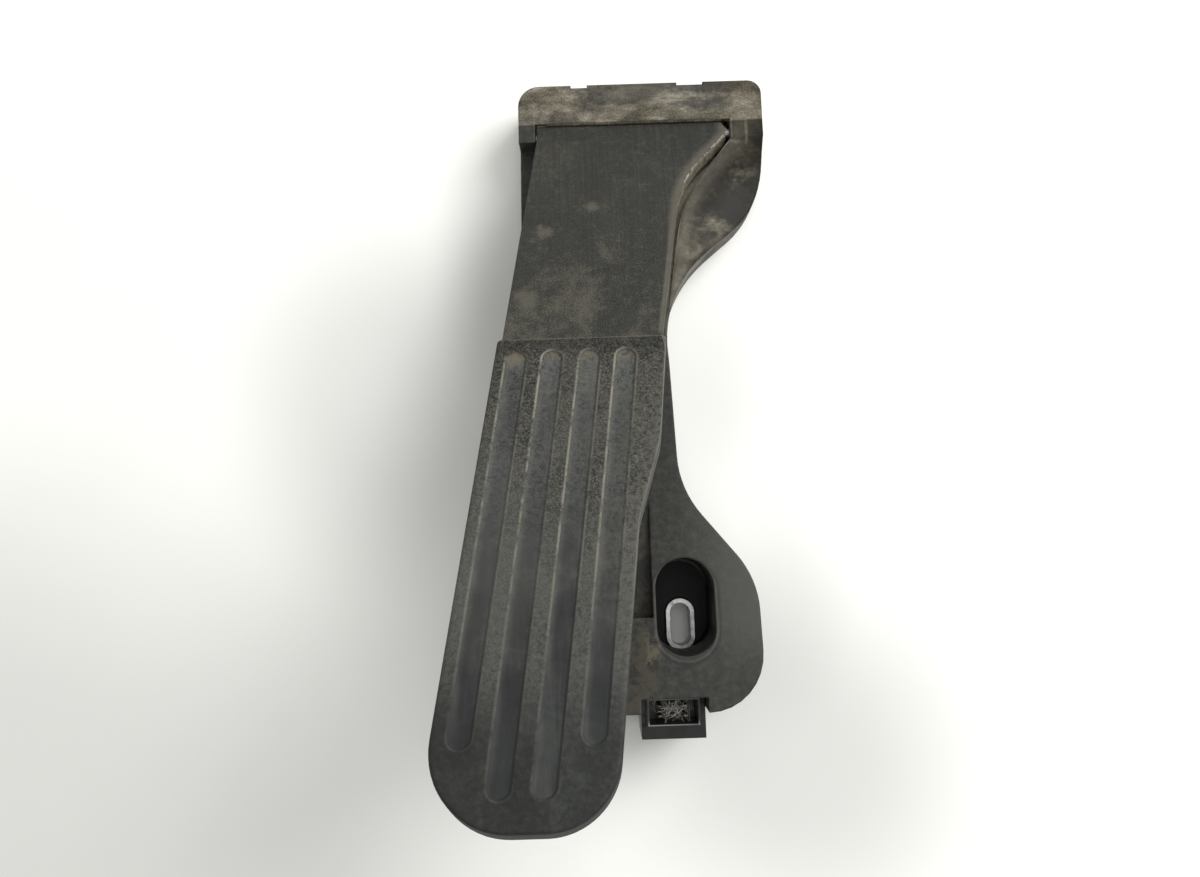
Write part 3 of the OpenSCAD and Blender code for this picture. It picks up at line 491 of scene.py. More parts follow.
def plate_material():
    k = Mat("plate_worn")
    x, s, h = on_plate(k)
    v = join(k, x, s, h)
    lines = k.noise(60, 4, 0.6, 0.0, k.mapped(scale=(22, 0.45, 1), v=v))
    fine = k.noise(360, 5, 0.7, 0.3, v)
    grit = k.noise(1700, 3, 0.65, 0.0, v)
    coarse = k.noise(30, 6, 0.66, 0.8, v)
    blotch = k.noise(85, 5, 0.6, 0.8, v)
    base = k.ramp(k.add(k.mul(coarse, 0.55), k.mul(lines, 0.45)),
                  [(0.34, rgb(40, 41, 38)), (0.5, rgb(51, 51, 48)), (0.66, rgb(66, 66, 61))])
    base = k.mix(k.mul(k.step(fine, 0.48, 0.72), 0.45), base, rgb(84, 82, 75))
    low = k.step(s, 0.020, 0.105)
    base = k.mix(k.mul(k.step(grit, 0.50, 0.64), k.lerp(low, 0.18, 0.45)), base, rgb(100, 98, 90))
    dust = k.add(k.mul(coarse, 0.8), k.mul(blotch, 0.45))
    dust = k.add(dust, k.mul(fine, 0.35))
    dust = k.add(dust, k.mul(grit, 0.35))
    dust = k.step(k.add(dust, k.mul(low, 0.09)), 1.00, 1.26)
    dust = k.mul(dust, k.lerp(low, 0.30, 0.60))
    face = k.step(h, 0.0050, 0.0062)
    powder = k.ramp(grit, [(0.35, rgb(80, 78, 69)), (0.65, rgb(126, 121, 108))])
    colour = k.mix(k.mul(dust, face), base, powder)
    # dirt in the joint with the housing, painted light enough to lift the joint's shade
    joint_dirt_and_light = k.mul(k.step(s, -0.0006, -0.0012), k.step(fine, 0.3, 0.55, 0.55, 1.0))
    colour = k.mix(joint_dirt_and_light, colour, rgb(196, 188, 170))
    # three pale scuffs down the arm, as x, distance along the plate and radius
    for sx, sy, sr in ((-0.0395, 0.060, 0.0036), (-0.020, 0.047, 0.0030), (-0.046, 0.094, 0.005)):
        dx = k.sub(x, sx)
        dy = k.sub(s, sy)
        d = k.hypot(dx, dy)
        d = k.add(k.math("DIVIDE", d, sr), k.mul(k.sub(fine, 0.5), 3.0))
        colour = k.mix(k.step(d, 1.3, 0.3, 0.0, 0.5), colour, rgb(122, 116, 102))
    # the dust that gathers against the pad's step and the clean dark patch by the hinge
    seam = k.mul(k.step(s, 0.1105, 0.1135), k.step(k.noise(240, 3, 0.6, 0, v), 0.46, 0.66))
    colour = k.mix(k.mul(seam, 0.35), colour, rgb(112, 106, 92))
    px = k.math("DIVIDE", k.add(x, 0.0245), 0.009)
    ps = k.math("DIVIDE", k.sub(s, 0.0052), 0.0042)
    d = k.add(k.mul(px, px), k.mul(ps, ps))
    d = k.add(d, k.mul(k.sub(k.noise(150, 3, 0.6, 0, v), 0.5), 1.6))
    colour = k.mix(k.step(d, 1.2, 0.4, 0.0, 0.5), colour, rgb(36, 36, 35))
    from_edge = k.sub(plate_edge_x(k, s), x)
    on_arm = k.step(s, 0.1135, 0.1100)
    colour = plate_side(k, (x, s, h, v), from_edge, on_arm, fine, grit, colour)
    rough = k.lerp(dust, 0.58, 0.85)
    n1 = k.round_normal(k.lerp(k.mul(k.step(from_edge, 0.008, 0.006), on_arm), 0.0009, 0.0038), 6)
    n2 = k.bump(k.noise(1900, 3, 0.55, 0, v), 0.30, 0.0004, n1)
    n3 = k.bump(lines, 0.06, 0.0005, n2)
    return k.done(k.mix(0.10, colour, (0, 0, 0, 1)), rough, n3, spec=0.20)


# grooves of the tread pad: the ends of each centre line, in the plate's frame, in metres
GROOVES = [((-0.0489, 0.1195), (-0.0644, 0.2634)), ((-0.0356, 0.1195), (-0.0523, 0.2780)),
           ((-0.0218, 0.1195), (-0.0389, 0.2782)), ((-0.0085, 0.1195), (-0.0240, 0.2632))]
GROOVE_HALF = 0.00405
GROOVE_DEPTH = 0.0008


def groove_line(ends):
    """First centre, unit direction and length of the line through the middle of a groove's round ends."""
    top, low = Vector(ends[0]), Vector(ends[1])
    u = (low - top).normalized()
    first = top + u * GROOVE_HALF
    return first, u, (low - u * GROOVE_HALF - first).length


def groove_fields(k, x, s):
    """Distance from the nearest groove's centre line, offset across it, and 1 at its upper end."""
    dist = 1.0
    across = 0.0
    along_top = 0.0
    for ends in GROOVES:
        first, u, length = groove_line(ends)
        dx = k.sub(x, first.x)
        ds = k.sub(s, first.y)
        run = k.add(k.mul(dx, u.x), k.mul(ds, u.y))
        held = k.math("MINIMUM", k.math("MAXIMUM", run, 0.0), length)
        rx = k.sub(dx, k.mul(held, u.x))
        rs = k.sub(ds, k.mul(held, u.y))
        d = k.hypot(rx, rs)
        near = k.math("LESS_THAN", d, GROOVE_HALF + 0.0018)
        side = k.sub(k.mul(dx, u.y), k.mul(ds, u.x))
        dist = k.math("MINIMUM", dist, d)
        across = k.add(across, k.mul(near, side))
        along_top = k.add(along_top, k.mul(near, k.step(run, 0.0040, -0.0030)))
    return dist, across, along_top


def pad_ridges(k, s, tip, coarse, fine, grit):
    """Speckled dark grey, with gritty beige wear that thins towards the smooth tip."""
    ridge = k.ramp(fine, [(0.36, rgb(30, 31, 29)), (0.5, rgb(56, 57, 54)), (0.64, rgb(92, 92, 87))])
    wear = k.step(k.add(coarse, k.mul(fine, 0.55)), 0.62, 0.98)
    ridge = k.mix(k.mul(wear, k.lerp(tip, 0.60, 0.35)), ridge, rgb(86, 84, 78))
    speck = k.mul(k.step(grit, 0.52, 0.60), k.lerp(tip, 0.60, 0.20))
    ridge = k.mix(speck, ridge, rgb(122, 119, 109))
    pit = k.mul(k.step(grit, 0.47, 0.38), k.lerp(tip, 0.50, 0.20))
    ridge = k.mix(pit, ridge, rgb(22, 22, 21))
    between = k.mul(k.step(s, 0.170, 0.215), k.step(s, 0.281, 0.255))
    ridge = k.mix(k.mul(between, k.lerp(fine, 0.05, 0.90)), ridge, rgb(92, 93, 90))
    smooth = k.ramp(k.add(k.mul(coarse, 0.6), k.mul(fine, 0.4)),
                    [(0.36, rgb(32, 33, 32)), (0.52, rgb(46, 48, 46)), (0.66, rgb(66, 68, 65))])
    ridge = k.mix(k.mul(k.step(s, 0.236, 0.266), 0.92), ridge, smooth)
    return ridge


def pad_troughs(k, s, v, tip, across, along_top, coarse, fine, grit, blotch):
    """The grooves: a little bluer, with fine dust that is strongest near the top, and dust with painted
    light along the left side.
    """
    upper = k.step(s, 0.190, 0.120)
    lean = math.radians(-6.2)
    strokes = k.noise(40, 5, 0.62, 0.3, k.mapped(rot=(0, 0, lean), scale=(6.0, 0.5, 1), v=v))
    trough = k.ramp(k.add(k.mul(coarse, 0.5), k.mul(strokes, 0.5)),
                    [(0.36, rgb(42, 44, 44)), (0.52, rgb(60, 62, 62)), (0.66, rgb(86, 88, 86))])
    gritty = k.step(k.add(blotch, k.mul(upper, 0.10)), 0.50, 0.74)
    trough = k.mix(k.mul(gritty, k.lerp(tip, 0.70, 0.12)), trough, rgb(96, 94, 88))
    veil = k.mul(k.step(s, 0.215, 0.165), k.step(k.add(fine, grit), 0.75, 1.25))
    trough = k.mix(k.mul(veil, 0.80), trough, rgb(116, 118, 115))
    # dust and painted light on the groove's left side, which faces the light
    left_side_dust_and_light = k.mul(k.step(across, -0.0016, -0.0038), k.lerp(tip, 0.55, 0.1))
    trough = k.mix(k.mul(left_side_dust_and_light, k.step(blotch, 0.34, 0.60)), trough, rgb(92, 90, 82))
    crown = k.mul(k.math("MINIMUM", along_top, 1.0), k.step(k.add(blotch, fine), 0.78, 1.16))
    trough = k.mix(k.mul(crown, 0.85), trough, rgb(124, 116, 98))
    return trough


def pad_material():
    k = Mat("pad_worn")
    x, s, h = on_plate(k)
    v = join(k, x, s, h)
    dist, across, along_top = groove_fields(k, x, s)
    groove = k.step(dist, GROOVE_HALF + 0.0001, GROOVE_HALF - 0.0009)
    painted_rim_shading = k.mul(k.step(dist, GROOVE_HALF + 0.0007, GROOVE_HALF + 0.0002),
                k.step(dist, GROOVE_HALF - 0.0005, GROOVE_HALF - 0.0001))
    outline = k.mul(k.step(dist, GROOVE_HALF - 0.0001, GROOVE_HALF - 0.0004),
                    k.step(dist, GROOVE_HALF - 0.0013, GROOVE_HALF - 0.0008))
    tip = k.step(s, 0.200, 0.265)
    wide = k.noise(14, 4, 0.6, 0.8, v)
    coarse = k.noise(48, 6, 0.68, 0.6, v)
    blotch = k.noise(110, 5, 0.64, 0.7, v)
    fine = k.noise(520, 5, 0.74, 0.3, v)
    grit = k.noise(1350, 3, 0.74, 0.0, v)
    ridge = pad_ridges(k, s, tip, coarse, fine, grit)
    trough = pad_troughs(k, s, v, tip, across, along_top, coarse, fine, grit, blotch)
    colour = k.mix(groove, ridge, trough)
    # light rims of the grooves, dust and painted highlight, strongest on the left edges, fading towards the
    # tip
    left = k.add(0.40, k.mul(k.step(across, 0.0005, -0.002), 0.60))
    lit = k.mul(k.mul(painted_rim_shading, left), k.step(k.noise(90, 5, 0.66, 0.2, v), 0.34, 0.60))
    lit = k.mul(lit, k.lerp(k.step(s, 0.175, 0.245), 0.95, 0.15))
    colour = k.mix(lit, colour, rgb(154, 150, 138))
    shade = k.mul(outline, k.step(across, -0.0015, 0.0025, 0.15, 0.85))
    colour = k.mix(k.mul(shade, k.lerp(tip, 0.55, 0.80)), colour, rgb(30, 31, 30))
    # rubbed outer edge, with a clear line down the right side that is wear and a painted highlight
    worn = k.mul(k.edge(0.0012, 5.0), k.step(k.noise(190, 4, 0.6, 0.2, v), 0.34, 0.60))
    colour = k.mix(k.mul(worn, k.lerp(tip, 0.40, 0.04)), colour, rgb(118, 115, 106))
    end, count = 0.265, 24
    pitch = (end - PAD_START) / count
    edge = [crossings(PAD_OUTLINE, PAD_START + 0.0001 + pitch * i)[1] for i in range(count + 1)]
    from_right = k.sub(lookup(k, s, PAD_START, end, edge), x)
    right_edge_wear_and_highlight = k.mul(k.step(from_right, 0.0006, 0.0002), k.step(s, 0.235, 0.200))
    colour = k.mix(k.mul(right_edge_wear_and_highlight, k.step(blotch, 0.30, 0.5, 0.35, 0.9)), colour, rgb(140, 138, 131))
    step_line = k.step(s, PAD_START + 0.0012, PAD_START + 0.0005)
    step_line = k.mul(step_line, k.step(blotch, 0.35, 0.55, 0.3, 0.8))
    colour = k.mix(step_line, colour, rgb(112, 109, 99))
    shadow = k.step(s, PAD_START + 0.0100, PAD_START + 0.0040)
    shadow = k.mul(shadow, k.step(s, PAD_START + 0.0006, PAD_START + 0.0016))
    colour = k.mix(k.mul(shadow, 0.36), colour, rgb(30, 30, 29))
    # broad dull haze across the middle, dark smears, and painted shade on the tip's left edge and on the
    # pad's side wall, its darker foot
    band = k.mul(k.step(s, 0.130, 0.170), k.step(s, 0.250, 0.205))
    haze = k.mul(k.step(k.add(wide, k.mul(coarse, 0.5)), 0.56, 0.90), band)
    colour = k.mix(k.mul(haze, 0.40), colour, rgb(102, 102, 98))
    right_side = k.mul(k.step(from_right, 0.022, 0.004), k.step(s, 0.118, 0.150))
    right_side = k.mul(right_side, k.mul(k.step(s, 0.240, 0.200), k.step(fine, 0.3, 0.62)))
    colour = k.mix(k.mul(right_side, 0.45), colour, rgb(110, 109, 102))
    dark = k.step(k.noise(20, 4, 0.58, 1.2, k.mapped(loc=(0.7, 0.2, 0), v=v)), 0.54, 0.72)
    colour = k.mix(k.mul(dark, 0.28), colour, rgb(34, 34, 34))
    # painted shade along the tip's left edge
    tip_left_shade = k.mul(k.step(s, 0.222, 0.255), k.step(x, -0.0560, -0.0650))
    colour = k.mix(k.mul(tip_left_shade, 0.42), colour, rgb(34, 35, 34))
    # the pad's side wall painted dark as shade
    wall = k.mul(k.step(h, 0.0078, 0.0070), k.step(s, 0.120, 0.150))
    colour = k.mix(k.mul(wall, k.lerp(tip, 0.45, 0.80)), colour, rgb(26, 26, 26))
    rough = k.lerp(tip, k.lerp(groove, 0.78, 0.62), 0.56)
    n1 = k.round_normal(0.0006)
    rugged = k.mul(k.noise(1100, 3, 0.6, 0.0, v), k.lerp(tip, 1.0, 0.15))
    rugged = k.mul(rugged, k.lerp(groove, 1.0, 0.20))
    n2 = k.bump(rugged, 0.5, 0.0007, n1)
    return k.done(colour, rough, n2, spec=0.15)


def plain_plastic(name, dark, light, rough=0.5, grain=1800, dusty=0.25):
    k = Mat(name)
    fine = k.noise(300, 5, 0.65, 0.2)
    colour = k.ramp(fine, [(0.3, rgb(*dark)), (0.7, rgb(*light))])
    nz = k.xyz(k.normal())[2]
    dust = k.mul(k.step(k.noise(90, 6, 0.65, 0.5), 0.46, 0.72), k.step(nz, -0.2, 0.9))
    colour = k.mix(k.mul(dust, dusty), colour, rgb(112, 104, 92))
    worn = k.mul(k.edge(0.0005, 4.0), k.step(k.noise(240, 3, 0.6), 0.4, 0.6))
    colour = k.mix(k.mul(worn, 0.35), colour, rgb(118, 114, 108))
    n1 = k.round_normal(0.0004)
    n2 = k.bump(k.noise(grain, 3, 0.55), 0.25, 0.0003, n1)
    return k.done(colour, k.lerp(dust, rough, 0.85), n2, spec=0.4)


def connector_material():
    """Glossy black, with painted highlights on its socket's edges and the dull dusty floor of its socket."""
    k = Mat("connector_gloss")
    x, y, z = k.xyz()
    fine = k.noise(300, 5, 0.65, 0.2)
    colour = k.ramp(fine, [(0.3, rgb(10, 10, 11)), (0.7, rgb(22, 22, 23))])
    nz = k.xyz(k.normal())[2]
    dust = k.mul(k.step(k.noise(120, 6, 0.7, 0.8), 0.46, 0.70), k.step(nz, 0.2, 0.9))
    colour = k.mix(k.mul(dust, 0.16), colour, rgb(104, 99, 88))
    inside = box_distance(k, x, y, *SOCKET)
    deep = k.mul(k.step(inside, 0.0002, -0.0002), k.step(z, 0.0350, 0.0330))
    colour = k.mix(k.mul(deep, k.step(k.noise(260, 5, 0.7, 0.8), 0.30, 0.75)), colour, rgb(96, 92, 82))
    # painted highlights on the socket's edges, strongest along the bottom one
    painted_rim_shading = k.mul(k.step(inside, -0.0002, 0.0001), k.step(inside, 0.0006, 0.0003))
    painted_rim_shading = k.mul(painted_rim_shading, k.step(z, 0.0345, 0.0352))
    ends = k.mul(k.step(y, -0.2460, -0.2478), 0.70)
    ends = k.add(0.12, k.math("MAXIMUM", ends, k.mul(k.step(y, -0.2405, -0.2387), 0.22)))
    colour = k.mix(k.mul(painted_rim_shading, ends), colour, rgb(186, 186, 180))
    worn = k.mul(k.edge(0.0005, 4.0), k.step(k.noise(240, 3, 0.6), 0.4, 0.6))
    colour = k.mix(k.mul(worn, 0.35), colour, rgb(96, 96, 92))
    n2 = k.bump(k.noise(900, 3, 0.55), 0.2, 0.0003, k.round_normal(0.0004))
    return k.done(colour, k.lerp(dust, 0.28, 0.8), n2, spec=0.22)


def dirt_material():
    k = Mat("caked_dirt")
    fine = k.noise(420, 6, 0.7, 0.2)
    patch = k.noise(70, 5, 0.6, 0.2)
    colour = k.ramp(k.add(k.mul(fine, 0.5), k.mul(patch, 0.5)),
                    [(0.38, rgb(74, 69, 58)), (0.5, rgb(104, 98, 85)), (0.62, rgb(136, 129, 114))])
    return k.done(colour, 0.95, k.bump(fine, 0.5, 0.0003), spec=0.1)


def lint_material():
    k = Mat("lint")
    colour = k.ramp(k.noise(400, 4, 0.6), [(0.3, rgb(190, 187, 176, 1)), (0.7, rgb(245, 243, 236, 1))])
    return k.done(colour, 0.9, spec=0.2)


def metal(name, dark, light, rough=0.38, stain=(96, 88, 74), stained=0.35, stretch=(1, 1, 1)):
    k = Mat(name)
    v = k.mapped(scale=stretch)
    fine = k.noise(420, 6, 0.7, 0.2, v)
    colour = k.ramp(fine, [(0.3, rgb(*dark)), (0.7, rgb(*light))])
    dull = k.step(k.noise(130, 5, 0.65, 0.8), 0.48, 0.74)
    colour = k.mix(k.mul(dull, stained), colour, rgb(*stain))
    r = k.add(rough, k.mul(dull, 0.25))
    r = k.add(r, k.mul(fine, 0.12))
    n1 = k.round_normal(0.0003)
    n2 = k.bump(fine, 0.15, 0.0002, n1)
    return k.done(colour, r, n2, metal=1.0)


def rubber(name):
    k = Mat(name)
    fine = k.noise(700, 4, 0.65)
    colour = k.ramp(fine, [(0.3, rgb(26, 26, 27)), (0.7, rgb(44, 43, 42))])
    bloom = k.step(k.noise(120, 5, 0.6, 0.6), 0.5, 0.75)
    colour = k.mix(k.mul(bloom, 0.3), colour, rgb(92, 88, 82))
    n = k.bump(k.noise(2200, 2, 0.5), 0.3, 0.0003, k.round_normal(0.0005))
    return k.done(colour, 0.78, n, spec=0.3)


HOUSING = housing_material()
PLATE = plate_material()
PAD = pad_material()
COVER = plain_plastic("cover_plastic", (34, 34, 34), (50, 49, 48), 0.5)
INNER = plain_plastic("inner_plastic", (30, 30, 31), (46, 46, 46), 0.45, dusty=0.3)
CONNECTOR = connector_material()
BUSH = metal("bush_zinc", (178, 180, 179), (232, 234, 231), 0.40, (150, 146, 138), 0.35)
ZINC = metal("screw_zinc", (140, 140, 134), (184, 184, 178), 0.34)
GROUND = metal("pin_ground", (132, 132, 134), (176, 177, 180), 0.28, stretch=(0.2, 3, 3))
SPRING = metal("spring_wire", (92, 94, 98), (138, 140, 144), 0.35)
TIN = metal("terminal_tin", (96, 92, 80), (132, 128, 114), 0.42, (70, 64, 52), 0.6)
BRONZE = metal("bronze", (140, 104, 60), (172, 134, 84), 0.45)
MAGNET = metal("magnet_sintered", (60, 60, 62), (86, 86, 88), 0.55)
RUBBER = rubber("buffer_rubber")
SEAL = rubber("seal_rubber")
LINT = lint_material()
DIRT = dirt_material()
LINING = plain_plastic("friction_lining", (84, 72, 58), (112, 98, 80), 0.8, 1200, 0.1)
BOARD = plain_plastic("board_laminate", (20, 66, 40), (28, 84, 52), 0.35, 1500, 0.1)

for node, material in {
    "housing": HOUSING, "pedal_plate": PLATE, "tread_pad": PAD, "rear_cover": COVER,
    "drive_lever": INNER, "lower_spring_seat": INNER, "upper_spring_seat": INNER,
    "magnet_carrier": INNER, "sensor_housing": CONNECTOR, "mounting_bush": BUSH,
    "cover_screws": ZINC, "hinge_pin": GROUND, "lever_shaft": GROUND, "outer_spring": SPRING,
    "inner_spring": SPRING, "retaining_ring": SPRING, "wave_washer": SPRING,
    "terminal_pins": TIN, "shaft_bushes": BRONZE, "sensor_magnet": MAGNET,
    "rest_buffer": RUBBER, "kickdown_buffer": RUBBER, "cover_seal": SEAL,
    "friction_disc": LINING, "sensor_board": BOARD,
}.items():
    mesh = nodes[node].data
    mesh.materials.clear()
    mesh.materials.append(material)


# pieces
def place(name, me, material):
    me.materials.append(material)
    o = bpy.data.objects.new(name, me)
    bpy.context.collection.objects.link(o)
    return o


def mesh_object(name, verts, faces, material):
    me = bpy.data.meshes.new(name)
    me.from_pydata(verts, [], faces)
    me.validate()
    me.polygons.foreach_set("use_smooth", [True] * len(me.polygons))
    return place(name, me, material)


def tube(points, r, sides):
    """Verts and faces of a closed tube along points, with its frame carried along without twist."""
    pts = [Vector(q) for q in points]
    n = len(pts)
    verts, faces = [], []
    side = (pts[1] - pts[0]).normalized().orthogonal().normalized()
    for i in range(n):
        a = pts[max(i - 1, 0)]
        b = pts[min(i + 1, n - 1)]
        t = (b - a).normalized()
        side = (side - t * side.dot(t)).normalized()
        up = t.cross(side)
        for k in range(sides):
            c = 2 * math.pi * k / sides
            verts.append(pts[i] + (side * math.cos(c) + up * math.sin(c)) * r)
    for i in range(n - 1):
        for k in range(sides):
            k2 = (k + 1) % sides
            faces.append((i * sides + k, i * sides + k2, (i + 1) * sides + k2, (i + 1) * sides + k))
    faces.append(tuple(range(sides - 1, -1, -1)))
    faces.append(tuple((n - 1) * sides + k for k in range(sides)))
    return verts, faces


def spring(name, node, radius, wire, turns):
    """A coil with closed end turns in place of the plain one."""
    low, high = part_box(node)
    z0, z1 = low[2] + wire / 2, high[2] - wire / 2
    x, y = (low[0] + high[0]) / 2, (low[1] + high[1]) / 2
    # closed turns at each end, how far their coils stand apart, and points a turn
    dead = 0.8
    closed = 1.02
    steps = 36
    points = []
    count = int(turns * steps)
    for i in range(count + 1):
        turn = i / steps
        live = min(max(turn - dead, 0), turns - 2 * dead) / (turns - 2 * dead)
        ends = (min(turn, dead) + max(turn - (turns - dead), 0)) * wire * closed
        rise = ends + live * (z1 - z0 - 2 * dead * wire * closed)
        a = -2 * math.pi * turn
        points.append((x + radius * math.cos(a), y + radius * math.sin(a), z0 + rise))
    verts, faces = tube(points, wire / 2, 12)
    o = mesh_object(name, verts, faces, SPRING)
    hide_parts(node)
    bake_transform(o)


def plate_point(x, s, h):
    """From the plate's own frame (across, along from the hinge, out of the face) to the scene's."""
    a = PLATE_SLOPE
    return (x, -s * math.cos(a) + h * math.sin(a), HINGE_Z + s * math.sin(a) + h * math.cos(a))


# heights of the pad's face, underside and rim over the plate's middle, its wall, and its edge's radius
PAD_TOP = 0.0080
PAD_UNDER = 0.00502
PAD_RIM = -0.0010
PAD_WALL = 0.0015
PAD_EDGE = 0.0012
# how far from the rim the grid's first lines lie
EDGE_STEPS = (0.0, 0.00008, 0.0002, 0.0004, 0.0007, 0.0011)


def pad_height(x, s, outline):
    """Height of the pad's face, rounded at the rim and with its grooves."""
    p = Vector((x, s))
    d = min((p - nearest(p, a, b)).length for a, b in outline_near(outline, p))
    h = PAD_TOP
    if d < PAD_EDGE:
        h -= PAD_EDGE - math.sqrt(max(PAD_EDGE ** 2 - (PAD_EDGE - d) ** 2, 0.0))
    for ends in GROOVES:
        first, u, length = groove_line(ends)
        q = p - first
        run = min(max(q.dot(u), 0.0), length)
        r = (q - u * run).length / GROOVE_HALF
        if r < 1:
            # shallower towards the tip, with a flat floor and steep sides
            depth = GROOVE_DEPTH * (1.0 - 0.35 * run / length)
            h -= depth * (1 - r ** 3.4)
    return h


def nearest(p, a, b):
    """The point nearest to p between a and b."""
    e = b - a
    t = min(max((p - a).dot(e) / max(e.length_squared, 1e-12), 0.0), 1.0)
    return a + e * t


def outline_near(outline, p):
    """The outline's sides beside p, or all of them where there are none."""
    margin = 0.002
    pairs = list(zip(outline, outline[1:] + outline[:1]))
    close = [(a, b) for a, b in pairs if min(a.y, b.y) - margin < p.y < max(a.y, b.y) + margin]
    return close or pairs


def pad_rows():
    """Distances along the plate of the grid's rows: even ones, then closer and closer round the tip."""
    pitch, round_tip, count = 0.0008, 0.026, 44
    rows = [PAD_START + d for d in EDGE_STEPS]
    s = rows[-1]
    while s < PLATE_LEN - round_tip:
        s += pitch
        rows.append(s)
    left = PLATE_LEN - s
    rows += [PLATE_LEN - left * (1 - i / count) ** 1.8 for i in range(1, count)]
    return rows + [PLATE_LEN - 1e-6]


def pad_row(s):
    """One row of the grid from the left edge to the right, evenly spaced where the tip is narrow."""
    middle, narrow = 84, 0.004
    e = EDGE_STEPS
    lo, hi = crossings(PAD_OUTLINE, s)
    if hi - lo < narrow:
        count = middle + 2 * len(e)
        xs = [lo + (hi - lo) * (i / count) for i in range(count + 1)]
    else:
        w = hi - lo - 2 * e[-1]
        xs = [lo + q for q in e] + [lo + e[-1] + w * i / (middle + 2) for i in range(1, middle + 2)]
        xs += [hi - q for q in reversed(e)]
    return [(x, s) for x in xs]


def tread_pad():
    """The pad as one closed skin: a grid over its face, a wrapped rim, and its underside."""
    rows = pad_rows()
    grid = [pad_row(s) for s in rows]
    cols = len(grid[0])
    verts, faces = [], []
    for row in grid:
        for x, s in row:
            verts.append(plate_point(x, s, pad_height(x, s, PAD_OUTLINE)))
    for j in range(len(grid) - 1):
        for i in range(cols - 1):
            a = j * cols + i
            faces.append((a, a + 1, a + cols + 1, a + cols))
    last = len(grid) - 1
    loop = [(j, 0) for j in range(last + 1)] + [(last, i) for i in range(1, cols)]
    loop += [(j, cols - 1) for j in range(last - 1, -1, -1)] + [(0, i) for i in range(cols - 2, 0, -1)]
    flat = [Vector(grid[j][i]) for j, i in loop]
    rings = [[j * cols + i for j, i in loop]]
    n = len(loop)
    inner = []
    for m in range(n):
        e = flat[(m + 1) % n] - flat[m - 1]
        e = e.normalized() if e.length > 1e-9 else Vector((0, 1))
        inner.append(flat[m] + Vector((e.y, -e.x)) * PAD_WALL)
    # if the wall came out on the far side, it goes in instead
    centre, probe = Vector((-0.037, 0.2)), 20
    if (inner[probe] - centre).length > (flat[probe] - centre).length:
        inner = [2 * f - q for f, q in zip(flat, inner)]
    # down to the rim, in by the wall, then up to the underside; the front edge stays on the plate
    for ring, under in ((flat, False), (inner, False), (inner, True)):
        ids = []
        for m, (j, _) in enumerate(loop):
            z = PAD_UNDER if under or j == 0 else PAD_RIM
            ids.append(len(verts))
            verts.append(plate_point(ring[m].x, ring[m].y, z))
        rings.append(ids)
    for a, b in zip(rings, rings[1:]):
        for m in range(n):
            m2 = (m + 1) % n
            faces.append((a[m], a[m2], b[m2], b[m]))
    faces.append(tuple(rings[-1]))
    name = "worn_tread_pad"
    me = bpy.data.meshes.new(name)
    me.from_pydata(verts, [], faces)
    bm = bmesh.new()
    bm.from_mesh(me)
    bmesh.ops.remove_doubles(bm, verts=bm.verts, dist=1e-6)
    bmesh.ops.recalc_face_normals(bm, faces=bm.faces)
    bm.to_mesh(me)
    bm.free()
    me.polygons.foreach_set("use_smooth", [True] * len(me.polygons))
    me.set_sharp_from_angle(angle=math.radians(40))
    o = place(name, me, PAD)
    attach(o, "pedal")
    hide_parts("tread_pad")


def bar_faces(first, count):
    """Faces of a closed bar with four corners at each of count + 1 places."""
    faces = []
    for i in range(count):
        a, b = first + 4 * i, first + 4 * i + 4
        for q in range(4):
            r = (q + 1) % 4
            faces.append((a + q, a + r, b + r, b + q))
    return faces + [(first + 3, first + 2, first + 1, first), tuple(first + 4 * count + q for q in range(4))]


def hinge_dirt():
    """Caked dust that closes the line between the flange's lip and the plate's barrel."""
    # the lip's wall, with the dust from there towards the barrel
    wall = 0.00405
    left, length, count = -0.0398, 0.0790, 160
    verts = []
    for i in range(count + 1):
        x = left + length * i / count
        ragged = 0.00012 * math.sin(i * 1.9) + rng.uniform(-0.00010, 0.00010)
        ends = min(i, count - i, 5) / 5
        reach = wall - (0.00105 + ragged) * (0.35 + 0.65 * ends)
        verts += [(x, wall, 0.02190 + ragged * 0.3), (x, (reach + wall) / 2, 0.02150 + ragged * 0.6),
                  (x, reach, 0.02100), (x, wall, 0.02088)]
    faces = bar_faces(0, count)
    # the wedge that fills the notch at the right end
    left, length, steps, back = 0.0384, 0.00275, 14, 0.00705
    first = len(verts)
    for i in range(steps + 1):
        x = left + length * i / steps
        front = 0.0034 + 0.0003 * math.sin(i * 1.7) - 0.0010 * (i / steps) ** 2
        verts += [(x, front, 0.02072), (x, front + 0.0004, 0.02105), (x, back, 0.02120), (x, back, 0.02070)]
    faces += bar_faces(first, steps)
    o = mesh_object("hinge_dirt", verts, faces, DIRT)
    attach(o, "base")


